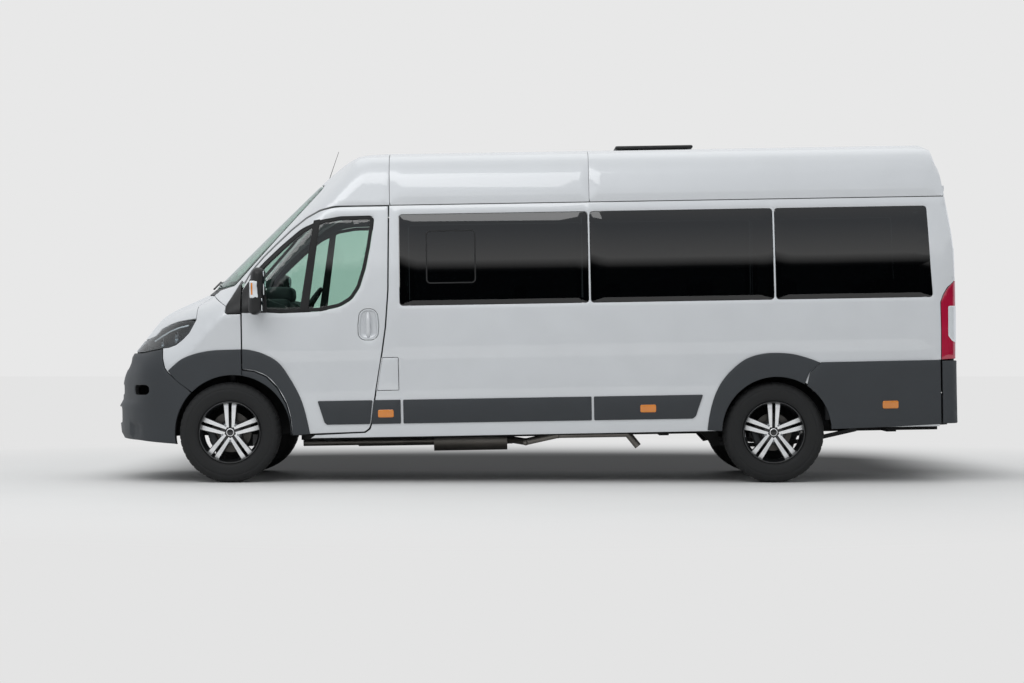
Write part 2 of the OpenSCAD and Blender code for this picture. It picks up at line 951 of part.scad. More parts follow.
module tyre_form() {
  w = tyre_w / 2;
  seat = rim_d / 2;
  rotate_extrude()
    polygon([
      [seat + 6, -w + 24], [seat + 30, -w + 8], [seat + 80, -w], [wheel_r - 40, -w + 10],
      [wheel_r - 10, -w + 26], [wheel_r, -w + 44], [wheel_r, w - 44], [wheel_r - 10, w - 26],
      [wheel_r - 40, w - 10], [seat + 80, w], [seat + 30, w - 8], [seat + 6, w - 24],
      [seat + 6, w - 40], [seat + 16, w - 50], [seat + 16, -w + 50], [seat + 6, -w + 40]
    ]);
}

module rim_form() {
  w = tyre_w / 2;
  seat = rim_d / 2;
  union() {
    rotate_extrude()
      polygon([
        [seat - 14, -w + 20], [seat + 6, -w + 20], [seat + 6, w - 20], [seat - 14, w - 20]
      ]);
    // disc behind the spokes and centre
    translate([0, 0, hub_face - 40])
      cylinder(h = 44, r = 92);
    for (i = [0 : spoke_pairs - 1])
      rotate([0, 0, i * 360 / spoke_pairs])
        for (s = [-1, 1])
          translate([60, s * 26 - 12, hub_face - 30])
            cube([seat - 60 - 4, 24, 32]);
  }
}

module left_front_tyre() {
  color("DimGray")
    at_wheel(front_x, -1, front_track)
      tyre_form();
}

module left_front_rim() {
  color("Silver")
    at_wheel(front_x, -1, front_track)
      rim_form();
}

module right_front_tyre() {
  color("DimGray")
    at_wheel(front_x, 1, front_track)
      tyre_form();
}

module right_front_rim() {
  color("Silver")
    at_wheel(front_x, 1, front_track)
      rim_form();
}

module left_rear_tyre() {
  color("DimGray")
    at_wheel(rear_x, -1, rear_track)
      tyre_form();
}

module left_rear_rim() {
  color("Silver")
    at_wheel(rear_x, -1, rear_track)
      rim_form();
}

module right_rear_tyre() {
  color("DimGray")
    at_wheel(rear_x, 1, rear_track)
      tyre_form();
}

module right_rear_rim() {
  color("Silver")
    at_wheel(rear_x, 1, rear_track)
      rim_form();
}

// ---- cab and cabin ----

module dashboard() {
  color("DimGray")
    sprung()
      intersection() {
        side_prism([[-100, 900], [260, 860], [420, 960], [470, 1180], [430, 1300], [250, 1370], [-60, 1400],
          [-130, 1380], [-130, 960]], -920, 920);
        body_form(wall_t + dash_clear);
      }
}

// room for the front edges of the doors as they swing in
dash_clear = 40;
wheel_at = [560, -440, 1290];
module steering_wheel() {
  color("DimGray")
    sprung()
      translate(wheel_at)
        rotate([0, 35, 0])
          union() {
            rotate_extrude()
              translate([185, 0])
                circle(r = 15, $fn = 24);
            cylinder(h = 40, r = 60, center = true);
            for (a = [0, 180, 270])
              rotate([0, 0, a])
                translate([40, -18, -10])
                  cube([140, 36, 20]);
            translate([0, 0, -200])
              cylinder(h = 200, r = 24);
          }
}

// Seats: x of the front edge, y of the middle
cab_seats = [[900, -560], [900, 320], [900, 700]];
// Cabin rows: x of the front edge off the rear axle, y of each seat; the fourth row stands
// between the wheel houses
rows = [
  [wheelbase - 2195, [-690, -230, 690]],
  [wheelbase - 1495, [-690, -230, 690]],
  [wheelbase - 815, [-690, -230, 690]],
  [wheelbase - 135, [-355, 355]],
  [wheelbase + 565, [-690, -230, 230, 690]]
];

module seat() {
  union() {
    block([80, 366], [-180, 180], [floor_z, 600]);
    block([0, 480], [-215, 215], [600, 720]);
    side_prism([[400, 700], [500, 680], [620, 1290], [560, 1310], [500, 1270]], -215, 215);
    side_prism([[556, 1300], [616, 1280], [650, 1450], [580, 1460]], -130, 130);
  }
}

module seats() {
  color("SlateGray")
    sprung() {
      for (s = cab_seats)
        translate([s[0], s[1] * 0.95, 0])
          seat();
      for (row = rows)
        for (y = row[1])
          translate([row[0], y, 0])
            seat();
    }
}

underbody();
left_side_wall();
right_side_wall();
roof();
cab_frame();
windscreen();
front_wings();
bonnet();
front_bumper();
grille();
headlamps();
tail_lamps();
left_front_door();
left_front_door_glass();
left_mirror();
right_front_door();
right_front_door_glass();
right_mirror();
sliding_door();
side_windows();
left_rear_door();
left_rear_door_glass();
right_rear_door();
right_rear_door_glass();
rear_bumper();
body_cladding();
roof_hatch_lid();
fuel_flap();
engine();
front_suspension();
left_knuckle();
right_knuckle();
rear_axle();
exhaust();
dashboard();
steering_wheel();
seats();
left_front_rim();
left_front_tyre();
right_front_rim();
right_front_tyre();
left_rear_rim();
left_rear_tyre();
right_rear_rim();
right_rear_tyre();
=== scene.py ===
"""Looks of the minibus: smooth body panels, glass, lamps, wheels and cabin over the CAD frame.

Lengths are in millimetres in the bodywork's own frame (x behind the front axle, y to the right,
z over the ground line at the front axle) and turn into metres in the row frame at the last step.
"""
import json
import logging
import math
from abc import ABC, abstractmethod
from dataclasses import dataclass, field
from enum import Enum
from typing import Callable, Iterable, Optional, Sequence

import bmesh
import bpy
import numpy as np
from mathutils import Matrix, Vector
from mathutils.geometry import delaunay_2d_cdt


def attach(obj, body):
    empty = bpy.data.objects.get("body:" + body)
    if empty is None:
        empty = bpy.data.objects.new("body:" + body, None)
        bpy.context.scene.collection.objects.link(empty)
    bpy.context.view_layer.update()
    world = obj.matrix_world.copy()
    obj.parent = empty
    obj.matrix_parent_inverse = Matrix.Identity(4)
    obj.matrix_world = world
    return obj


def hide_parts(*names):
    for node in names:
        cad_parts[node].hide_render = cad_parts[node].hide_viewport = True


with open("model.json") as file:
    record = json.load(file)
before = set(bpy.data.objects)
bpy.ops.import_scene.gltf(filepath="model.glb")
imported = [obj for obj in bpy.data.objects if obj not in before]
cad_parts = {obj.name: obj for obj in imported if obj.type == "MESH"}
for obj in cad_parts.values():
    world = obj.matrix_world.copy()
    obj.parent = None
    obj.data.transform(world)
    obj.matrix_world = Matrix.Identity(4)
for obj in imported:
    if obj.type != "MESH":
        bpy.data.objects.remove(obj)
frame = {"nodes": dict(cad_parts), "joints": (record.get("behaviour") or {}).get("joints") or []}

logging.basicConfig(level=logging.INFO, format="%(message)s")
LOG = logging.getLogger("minibus")

MM = 0.001
RAKE = math.radians(0.96)
JOINTS = {j["name"]: j for j in frame["joints"]}
FRONT_X = JOINTS["left_steer"]["pos_m"][0] / MM
WHEELBASE = JOINTS["left_rear_wheel_spin"]["pos_m"][0] / MM - FRONT_X
WHEEL_Z = JOINTS["left_rear_wheel_spin"]["pos_m"][2] / MM
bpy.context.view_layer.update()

Points = np.ndarray


class Side(Enum):
    """Which side of the vehicle a piece is on."""

    LEFT = -1
    RIGHT = 1

    @property
    def word(self) -> str:
        """The side's name as it stands in piece names."""
        return self.name.lower()


# ---------------------------------------------------------------- frames and curves


def to_row(points: Points) -> Points:
    """Turns bodywork millimetres into row-frame metres.

    Args:
        points: array of x, y, z in the bodywork's frame.
    Returns:
        The same points in metres in the row frame.
    """
    p = np.asarray(points, float)
    c, s = math.cos(RAKE), math.sin(RAKE)
    x = FRONT_X + p[..., 0] * c - p[..., 2] * s
    z = p[..., 0] * s + p[..., 2] * c
    return np.stack([x, p[..., 1], z], -1) * MM


def smooth_line(points: Sequence, step: float = 12.0) -> Points:
    """Draws a smooth curve through points, evenly enough for a panel.

    Args:
        points: corner points, two or three columns.
        step: distance between points on the curve.
    Returns:
        Points along the curve.
    """
    p = np.asarray(points, float)
    h = np.sqrt(np.linalg.norm(np.diff(p, axis=0), axis=1))
    slope = np.diff(p, axis=0) / h[:, None]
    m = np.empty_like(p)
    m[1:-1] = (slope[:-1] * h[1:, None] + slope[1:] * h[:-1, None]) / (h[1:] + h[:-1])[:, None]
    m[0], m[-1] = slope[0], slope[-1]
    out = []
    for i in range(len(p) - 1):
        n = max(2, int(np.linalg.norm(p[i + 1] - p[i]) / step) + 1)
        t = np.linspace(0, 1, n, endpoint=False)[:, None]
        out.append((2 * t**3 - 3 * t**2 + 1) * p[i] + (t**3 - 2 * t**2 + t) * h[i] * m[i]
                + (-2 * t**3 + 3 * t**2) * p[i + 1] + (t**3 - t**2) * h[i] * m[i + 1])
    out.append(p[-1:])
    return np.concatenate(out)


def rounded(corners: Sequence, radius: float = 20.0, step: float = 14.0) -> Points:
    """Closed outline with rounded corners.

    Args:
        corners: x and z of each corner, with an optional own radius as third column.
        radius: radius where a corner has none of its own.
        step: distance between points on the outline.
    Returns:
        Points of the outline, anticlockwise or clockwise as given.
    """
    c = [np.array(q[:2], float) for q in corners]
    r = [q[2] if len(q) > 2 else radius for q in corners]
    n = len(c)
    out: list = []
    for i in range(n):
        a, b, d = c[i - 1], c[i], c[(i + 1) % n]
        u, w = (a - b), (d - b)
        lu, lw = np.linalg.norm(u), np.linalg.norm(w)
        u, w = u / lu, w / lw
        half = 0.5 * math.acos(float(np.clip(u @ w, -1, 1)))
        cut = min(r[i] / max(math.tan(half), 1e-6), 0.48 * lu, 0.48 * lw)
        if cut < 0.8 or half > 1.55:
            out.append(b[None])
            continue
        rr = cut * math.tan(half)
        mid = (u + w) / np.linalg.norm(u + w)
        centre = b + mid * (rr / math.sin(half))
        p0, p1 = b + u * cut, b + w * cut
        a0 = math.atan2(*(p0 - centre)[::-1])
        a1 = math.atan2(*(p1 - centre)[::-1])
        da = (a1 - a0 + math.pi) % (2 * math.pi) - math.pi
        k = max(3, int(abs(da) * rr / 6) + 2)
        t = a0 + da * np.linspace(0, 1, k)
        out.append(centre + rr * np.stack([np.cos(t), np.sin(t)], -1))
    pts = np.concatenate(out)
    return densify(pts, step)


def densify(pts: Points, step: float) -> Points:
    """Adds points along the straight runs of a closed outline, at most step apart.

    Args:
        pts: the outline.
        step: greatest distance between points.
    Returns:
        The outline with the added points.
    """
    out = []
    for i in range(len(pts)):
        a, b = pts[i], pts[(i + 1) % len(pts)]
        n = max(1, int(np.ceil(np.linalg.norm(b - a) / step)))
        out.append(a + (b - a) * (np.arange(n) / n)[:, None])
    return np.concatenate(out)


def arc(cx: float, cz: float, r: float, a0: float, a1: float, n: int = 24) -> list:
    """Points of an arc, angles in degrees."""
    t = np.radians(np.linspace(a0, a1, n))
    return [[cx + r * math.cos(v), cz + r * math.sin(v)] for v in t]


def area(p: Points) -> float:
    """Signed area of a closed outline."""
    q = np.roll(p, -1, 0)
    return 0.5 * float(np.sum(p[:, 0] * q[:, 1] - q[:, 0] * p[:, 1]))


def inset(p: Points, d: float) -> Points:
    """Moves a closed outline inwards by d; outwards where d is negative.

    Args:
        p: the outline.
        d: distance to move.
    Returns:
        The moved outline.
    """
    s = 1.0 if area(p) > 0 else -1.0
    t = np.roll(p, -1, 0) - np.roll(p, 1, 0)
    t /= np.maximum(np.linalg.norm(t, axis=1), 1e-9)[:, None]
    return p + s * d * np.stack([-t[:, 1], t[:, 0]], -1)


def soft_max(a: Points, b: Points, k: float) -> Points:
    """The larger of two fields, blended over the distance k."""
    h = np.maximum(k - np.abs(a - b), 0) / k
    return np.maximum(a, b) + h * h * k * 0.25


def soft_min(a: Points, b: Points, k: float) -> Points:
    """The smaller of two fields, blended over the distance k."""
    return -soft_max(-a, -b, k)


# ---------------------------------------------------------------- the bodywork's surface

HALF_W = 1025.0
ROOF_Z = 2452.0
REAR_END = WHEELBASE + 1380.0
TAIL_X = REAR_END - 3.0
NOSE_LINE = [(-850, 250), (-900, 400), (-935, 500), (-948, 560), (-942, 610), (-908, 645), (-900, 760),
        (-880, 850), (-838, 905), (-812, 965), (-755, 1035), (-712, 1085), (-655, 1160), (-600, 1222),
        (-545, 1262), (-460, 1300), (-345, 1345), (-210, 1408)]
SCREEN_LINE = [(-210, 1408), (150, 1758), (500, 2072), (575, 2138), (650, 2204), (715, 2260), (785, 2308),
        (865, 2362), (950, 2404), (1040, 2428), (1180, 2442), (1400, 2450), (2600, 2452.5)]
TAIL_LINE = [(-12, 250), (-12, 815), (-3, 1116), (0, 1410), (-7, 1640), (-20, 1760), (-44, 1900),
        (-74, 2065), (-104, 2230), (-130, 2330), (-160, 2395), (-200, 2440), (-300, 2452.5)]
FLANK = [(-25, 250), (-13, 330), (0, 620), (0, 950), (-15, 1280), (-48, 1640), (-90, 1980), (-114, 2140),
        (-132, 2250), (-152, 2318), (-186, 2370), (-246, 2408), (-370, 2434), (-620, 2448)]
PLAN = [(-948, 0), (-922, 180), (-890, 350), (-852, 500), (-798, 640), (-724, 760), (-632, 850),
        (-518, 920), (-372, 970), (-180, 1000), (60, 1016), (320, 1025)]
TAIL_PLAN = [(-180, 1025), (-88, 1020), (-36, 1000), (-9, 962), (0, 905), (0, 500), (0, 0)]
SCREEN_FOOT = (-210.0, 1408.0)


@dataclass(frozen=True)
class BowedFace:
    """A face that rises at one slope and bows back towards the sides."""

    slope: float
    foot: tuple
    bow: tuple

    def field(self, x: Points, ay: Points, z: Points) -> Points:
        """Distance in front of the face; negative inside the body.

        Args:
            x: positions along the body.
            ay: distances from the middle.
            z: heights.
        Returns:
            Distance at each point, in millimetres.
        """
        line = smooth_line(self.bow, 20)
        s = math.radians(self.slope)
        v = (x - self.foot[0]) * math.sin(s) - (z - self.foot[1]) * math.cos(s)
        return np.interp(ay, line[:, 1], line[:, 0]) - v


class BodyShape:
    """The closed outer surface of the bodywork, as a field that is negative inside."""

    screen = BowedFace(44.0, SCREEN_FOOT, ((0, 0), (14, 300), (42, 520), (92, 720), (150, 850), (215, 940),
            (330, 1030)))
    bonnet = BowedFace(23.0, SCREEN_FOOT, ((0, 0), (8, 300), (26, 500), (56, 700), (96, 850), (150, 960),
            (210, 1040)))
    nose = BowedFace(50.0, (-712.0, 1085.0), ((0, 0), (14, 300), (44, 500), (84, 640), (138, 760),
            (200, 850), (285, 920), (380, 975)))

    def __init__(self) -> None:
        """Draws the smooth curves once."""
        right = [(HALF_W + dy, z) for dy, z in FLANK]
        whole = right + [(0, ROOF_Z)] + [(-y, z) for y, z in right[::-1]]
        line = smooth_line(whole, 6)
        line = line[: int(np.argmin(np.abs(line[:, 0]))) + 1]
        self.flank_z = np.maximum.accumulate(line[:, 1])
        self.flank_y = line[:, 0]
        nose, screen = smooth_line(NOSE_LINE, 6), smooth_line(SCREEN_LINE, 8)
        front = np.concatenate([nose, screen[1:]])
        self.front_z, self.front_x = np.maximum.accumulate(front[:, 1]), front[:, 0]
        tail = smooth_line([(TAIL_X + a, b) for a, b in TAIL_LINE], 6)
        self.tail_z, self.tail_x = np.maximum.accumulate(tail[:, 1]), tail[:, 0]
        plan = smooth_line(PLAN, 6)
        self.plan_y, self.plan_x = plan[:, 1], plan[:, 0]
        end = smooth_line([(TAIL_X + a, b) for a, b in TAIL_PLAN], 6)[::-1]
        self.end_y, self.end_x = np.maximum.accumulate(end[:, 1]), end[:, 0]

    def half_width(self, z: Points) -> Points:
        """Half width of the section at a height; negative over the roof."""
        w = np.interp(z, self.flank_z, self.flank_y)
        return np.where(z > self.flank_z[-1], (self.flank_z[-1] - z) * 4, w)

    def field(self, p: Points) -> Points:
        """Field of the body at points; negative inside.

        Args:
            p: array of x, y, z in the bodywork's frame.
        Returns:
            One value for each point.
        """
        x, ay, z = p[..., 0], np.abs(p[..., 1]), p[..., 2]
        side = ay - self.half_width(z)
        front = np.interp(z, self.front_z, self.front_x) - x
        plan = np.interp(ay, self.plan_y, self.plan_x) - x
        prow = soft_max(soft_max(front, plan, 8), self.nose.field(x, ay, z), 90)
        face = soft_min(self.screen.field(x, ay, z), self.bonnet.field(x, ay, z), 30)
        rear = x - np.interp(z, self.tail_z, self.tail_x)
        end = x - np.interp(ay, self.end_y, self.end_x)
        nose = soft_max(prow, face, 40)
        back = soft_max(rear, end, 20)
        return soft_max(soft_max(side, nose, 70), back, 30)

    def normal(self, p: Points) -> Points:
        """Outward unit normals of the surface near points.

        Args:
            p: points of the surface.
        Returns:
            Unit vectors.
        """
        g = np.empty_like(p)
        for i in range(3):
            d = np.zeros(3)
            d[i] = 2.0
            g[..., i] = self.field(p + d) - self.field(p - d)
        return g / np.maximum(np.linalg.norm(g, axis=-1), 1e-9)[..., None]


SHAPE = BodyShape()


class Chart(ABC):
    """A flat map of part of the surface: two numbers give a ray, and the ray its point."""

    @abstractmethod
    def ray(self, uv: Points) -> tuple:
        """Inner and outer ends of the rays of a list of map points."""

    def lift(self, uv: Points) -> Points:
        """Points of the body's surface under map points.

        Args:
            uv: points of the map.
        Returns:
            Points of the surface, in bodywork millimetres.
        """
        uv = np.asarray(uv, float)
        a, b = self.ray(uv)
        lo, hi = np.zeros(len(uv)), np.ones(len(uv))
        for _ in range(26):
            m = 0.5 * (lo + hi)
            inside = SHAPE.field(a + (b - a) * m[:, None]) < 0
            lo, hi = np.where(inside, m, lo), np.where(inside, hi, m)
        return a + (b - a) * (0.5 * (lo + hi))[:, None]


class SideChart(Chart):
    """Side view: x and z, looking across from the left."""

    def ray(self, uv: Points) -> tuple:
        """Rays across the vehicle."""
        n = np.zeros(len(uv))
        return (np.stack([uv[:, 0], n - 60, uv[:, 1]], -1), np.stack([uv[:, 0], n - 1400, uv[:, 1]], -1))


class TopChart(Chart):
    """Plan view: x and y, looking down."""

    def ray(self, uv: Points) -> tuple:
        """Rays straight up."""
        n = np.zeros(len(uv))
        return (np.stack([uv[:, 0], uv[:, 1], n + 800], -1), np.stack([uv[:, 0], uv[:, 1], n + 2800], -1))


class RoofChart(Chart):
    """Round the section: x and the angle over the left side, as millimetres at one metre."""

    def ray(self, uv: Points) -> tuple:
        """Rays from a line inside the cabin.

        Args:
            uv: points of the map.
        Returns:
            Start and end of each ray.
        """
        t = uv[:, 1] / 1000
        n = np.zeros(len(uv))
        a = np.stack([uv[:, 0], n, n + 1500], -1)
        return a, a + 1700 * np.stack([n, -np.cos(t), np.sin(t)], -1)

    @staticmethod
    def locate(p: Points) -> Points:
        """Map point of each surface point."""
        return np.stack([p[:, 0], 1000 * np.arctan2(p[:, 2] - 1500, -p[:, 1])], -1)


class ScreenChart(Chart):
    """Round the windscreen: distance up the slope and angle to the left, as millimetres."""

    depth = 600.0
    scale = 900.0
    up = np.array([math.cos(math.radians(44)), 0, math.sin(math.radians(44))])
    back = np.array([math.sin(math.radians(44)), 0, -math.cos(math.radians(44))])
    foot = np.array([SCREEN_FOOT[0], 0, SCREEN_FOOT[1]])

    def ray(self, uv: Points) -> tuple:
        """Rays from a line inside the cab that runs along the slope.

        Args:
            uv: points of the map.
        Returns:
            Start and end of each ray.
        """
        t = (uv[:, 1] / self.scale)[:, None]
        a = self.foot + uv[:, :1] * self.up + self.depth * self.back
        return a, a + 1700 * (-self.back * np.cos(t) + np.array([0, -1, 0]) * np.sin(t))

    def locate(self, p: Points) -> Points:
        """Map point of each surface point.

        Args:
            p: points of the surface.
        Returns:
            Points of the map.
        """
        q = p - self.foot - self.depth * self.back
        s = q @ self.up
        return np.stack([s, self.scale * np.arctan2(-q[:, 1], -(q @ self.back))], -1)


class WrapChart(Chart):
    """Round the body at one height: distance along the plan, and z.

    It runs from the nose's middle down the left side and round the tail corner to the middle
    of the tail. Along the side its first number is x itself.
    """

    nose_x = -100.0
    scale = 900.0
    corner = (5212.0, -825.0)
    corner_r = 200.0
    middle = nose_x - scale * math.pi / 2
    tail_start = corner[0] + corner_r * math.pi / 2
    tail_middle = tail_start - corner[1]

    def ray(self, uv: Points) -> tuple:
        """Level rays outwards.

        Args:
            uv: points of the map.
        Returns:
            Start and end of each ray.
        """
        u, z = uv[:, 0], uv[:, 1]
        a, b = np.zeros((len(u), 3)), np.zeros((len(u), 3))
        a[:, 2] = b[:, 2] = z
        t = (self.nose_x - u) / self.scale
        k = (u < self.nose_x) & (t <= math.pi)
        a[k, 0] = self.nose_x
        b[k, 0] = self.nose_x - 1500 * np.sin(t[k])
        b[k, 1] = -1500 * np.cos(t[k])
        k = t > math.pi
        a[k, 0] = b[k, 0] = self.nose_x + (t[k] - math.pi) * self.scale
        a[k, 1], b[k, 1] = 60, 1400
        k = (u >= self.nose_x) & (u <= self.corner[0])
        a[k, 0] = b[k, 0] = u[k]
        a[k, 1], b[k, 1] = -60, -1400
        w = (u - self.corner[0]) / self.corner_r
        k = (w > 0) & (w <= math.pi / 2)
        a[k, 0], a[k, 1] = self.corner
        b[k, 0] = self.corner[0] + 500 * np.sin(w[k])
        b[k, 1] = self.corner[1] - 500 * np.cos(w[k])
        k = w > math.pi / 2
        a[k, 0], b[k, 0] = self.corner[0] - 300, self.corner[0] + 600
        a[k, 1] = b[k, 1] = self.corner[1] + (u[k] - self.tail_start)
        return a, b

    def locate(self, p: Points) -> Points:
        """Map point of each point on the left half of the surface.

        Args:
            p: points of the surface.
        Returns:
            Points of the map.
        """
        x, y = p[:, 0], p[:, 1]
        u = np.where(x < self.nose_x, self.nose_x - self.scale * np.arctan2(self.nose_x - x, -y), x)
        w = np.arctan2(x - self.corner[0], self.corner[1] - y)
        u = np.where(x > self.corner[0], self.corner[0] + self.corner_r * np.clip(w, 0, math.pi / 2), u)
        tail = (x > self.corner[0]) & (y > self.corner[1])
        u = np.where(tail, self.tail_start + (y - self.corner[1]), u)
        return np.stack([u, p[:, 2]], -1)

    def from_side(self, xz: Points) -> Points:
        """Map points of side-view points."""
        return self.locate(SIDE.lift(xz))


SIDE, TOP, ROOF, SCREEN, WRAP = SideChart(), TopChart(), RoofChart(), ScreenChart(), WrapChart()


# ---------------------------------------------------------------- meshes


@dataclass
class MeshData:
    """Points in row metres with faces and one material number for each face."""

    points: Points
    faces: list
    slots: list

    def mirrored(self) -> "MeshData":
        """The same mesh on the other side of the vehicle.

        Returns:
            The mirrored mesh.
        """
        p = self.points.copy()
        p[:, 1] *= -1
        return MeshData(p, [f[::-1] for f in self.faces], list(self.slots))


def join(parts: Iterable[MeshData]) -> MeshData:
    """One mesh out of several.

    Args:
        parts: meshes with slot numbers that agree.
    Returns:
        One mesh.
    """
    pts, faces, slots, n = [], [], [], 0
    for m in parts:
        pts.append(m.points)
        faces += [tuple(i + n for i in f) for f in m.faces]
        slots += m.slots
        n += len(m.points)
    return MeshData(np.concatenate(pts), faces, slots)


def make_object(name: str, mesh: MeshData, materials: Sequence, sharp: float = 38.0) -> bpy.types.Object:
    """Turns mesh data into an object with smooth shading and sharp edges.

    Args:
        name: name of the piece.
        mesh: its points and faces.
        materials: materials in the order of the slot numbers.
        sharp: angle in degrees from which an edge is drawn sharp.
    Returns:
        The new object.
    """
    data = bpy.data.meshes.new(name)
    data.from_pydata(mesh.points.tolist(), [], mesh.faces)
    for m in materials:
        data.materials.append(m)
    data.polygons.foreach_set("material_index", mesh.slots)
    data.polygons.foreach_set("use_smooth", [True] * len(data.polygons))
    data.set_sharp_from_angle(angle=math.radians(sharp))
    data.update()
    obj = bpy.data.objects.new(name, data)
    bpy.context.scene.collection.objects.link(obj)
    return obj


def triangulate(loops: Sequence, spacing: float) -> tuple:
    """Fills an outline with holes by even triangles.

    Args:
        loops: closed outlines, the outer one first.
        spacing: distance between the inner points.
    Returns:
        Map points, triangles, and the point numbers of each loop.
    """
    pts = [q for lp in loops for q in lp]
    edges, index, n = [], [], 0
    for lp in loops:
        k = len(lp)
        edges += [(n + i, n + (i + 1) % k) for i in range(k)]
        index.append(list(range(n, n + k)))
        n += k
    outer = np.asarray(loops[0])
    lo, hi = outer.min(0), outer.max(0)
    gx, gy = np.arange(lo[0] + spacing / 2, hi[0], spacing), np.arange(lo[1] + spacing / 2, hi[1], spacing)
    grid = np.stack(np.meshgrid(gx, gy), -1).reshape(-1, 2)
    grid[:, 0] += spacing * 0.5 * (np.round((grid[:, 1] - lo[1]) / spacing).astype(int) % 2)
    keep = np.ones(len(grid), bool)
    every = np.concatenate([np.asarray(lp) for lp in loops])
    for i in range(0, len(grid), 2000):
        d = np.linalg.norm(grid[i:i + 2000, None] - every[None], axis=2).min(1)
        keep[i:i + 2000] = d > spacing * 0.55
    inside = np.zeros(len(grid), int)
    for lp in loops:
        inside += within(grid, np.asarray(lp))
    grid = grid[keep & (inside == 1)]
    everything = np.concatenate([np.asarray(pts), grid])
    out = delaunay_2d_cdt([Vector(q) for q in everything], edges, [], 0, 1e-4)
    verts = np.array([v[:] for v in out[0]])
    back = {}
    for new, olds in enumerate(out[3]):
        for o in olds:
            back[o] = new
    tris = np.array([f[:] for f in out[2]])
    mid = verts[tris].mean(1)
    count = np.zeros(len(tris), int)
    for lp in loops:
        count += within(mid, np.asarray(lp))
    tris = tris[count == 1]
    a, b, c = verts[tris[:, 0]], verts[tris[:, 1]], verts[tris[:, 2]]
    turn = (b - a)[:, 0] * (c - a)[:, 1] - (b - a)[:, 1] * (c - a)[:, 0]
    tris[turn < 0] = tris[turn < 0][:, ::-1]
    return verts, tris, [[back[i] for i in lp] for lp in index]


def within(p: Points, loop: Points) -> Points:
    """1 for each point inside a closed outline, else 0.

    Args:
        p: points of the map.
        loop: closed outline.
    Returns:
        An array of 1 and 0.
    """
    a, b = loop, np.roll(loop, -1, 0)
    hit = np.zeros(len(p), int)
    for (x0, y0), (x1, y1) in zip(a, b):
        if y0 == y1:
            continue
        k = (p[:, 1] > min(y0, y1)) & (p[:, 1] <= max(y0, y1))
        x = x0 + (p[:, 1] - y0) * (x1 - x0) / (y1 - y0)
        hit += (k & (x > p[:, 0])).astype(int)
    return hit % 2


@dataclass
class Panel:
    """A pressed panel: an outer face on the body's surface, a rounded edge and a back."""

    chart: Chart
    outline: Points
    holes: list = field(default_factory=list)
    thick: float = 24.0
    edge: float = 3.0
    gap: float = 2.5
    proud: float = 0.0
    spacing: float = 45.0
    relief: Optional[Callable] = None
    back_slot: int = 1
    back: bool = True

    def build(self) -> MeshData:
        """Makes the panel's mesh.

        Returns:
            The closed mesh, with the face in slot 0 and the back in back_slot.
        """
        outer = self.outline if area(self.outline) > 0 else self.outline[::-1]
        loops = [inset(outer, self.gap + self.edge)]
        for h in self.holes:
            h = h if area(h) > 0 else h[::-1]
            loops.append(inset(h, -(self.gap + self.edge)))
        uv, tris, index = triangulate(loops, self.spacing)
        base = self.chart.lift(uv)
        nrm = SHAPE.normal(base)
        rise = np.full(len(uv), self.proud)
        if self.relief is not None:
            rise = rise + self.relief(base)
        top = base + nrm * rise[:, None]
        tri = top[tris[:200]]
        face = np.cross(tri[:, 1] - tri[:, 0], tri[:, 2] - tri[:, 0])
        flip = float(np.sum(face * nrm[tris[:200, 0]])) < 0
        faces = [tuple(t[::-1]) if flip else tuple(t) for t in tris.tolist()]
        slots = [0] * len(faces)
        pts = [top]
        count = len(top)
        bottoms = {}
        for k, loop in enumerate(index):
            p, n = top[loop], nrm[loop]
            t = np.roll(p, -1, 0) - np.roll(p, 1, 0)
            t /= np.maximum(np.linalg.norm(t, axis=1), 1e-9)[:, None]
            b = np.cross(t, n)
            away = b if (k == 0) else -b
            if flip:
                away = -away
            ring_before = list(loop)
            rings = [(self.edge * math.sin(a), self.edge * (1 - math.cos(a))) for a in (0.52, 1.05, 1.57)]
            rings.append((self.edge, max(self.thick, self.edge + 0.5)))
            for j, (out, down) in enumerate(rings):
                ring = p + away * out - n * down
                pts.append(ring)
                ids = list(range(count, count + len(ring)))
                count += len(ring)
                m = len(ids)
                for i in range(m):
                    quad = (ring_before[i], ids[i], ids[(i + 1) % m], ring_before[(i + 1) % m])
                    ok = (k == 0) != flip
                    faces.append(quad if ok else quad[::-1])
                    slots.append(0 if j < 3 or not self.back else self.back_slot)
                ring_before = ids
            bottoms[k] = ring_before
        if self.back:
            rest = np.setdiff1d(np.arange(len(top)), np.concatenate([np.array(lp) for lp in index]))
            number = {int(o): count + i for i, o in enumerate(rest)}
            pts.append(base[rest] - nrm[rest] * (self.thick - self.proud))
            for k, loop in enumerate(index):
                for o, new in zip(loop, bottoms[k]):
                    number[int(o)] = new
            for t in tris.tolist():
                f = tuple(number[i] for i in t)
                faces.append(f if flip else f[::-1])
                slots.append(self.back_slot)
        return MeshData(to_row(np.concatenate(pts)), faces, slots)


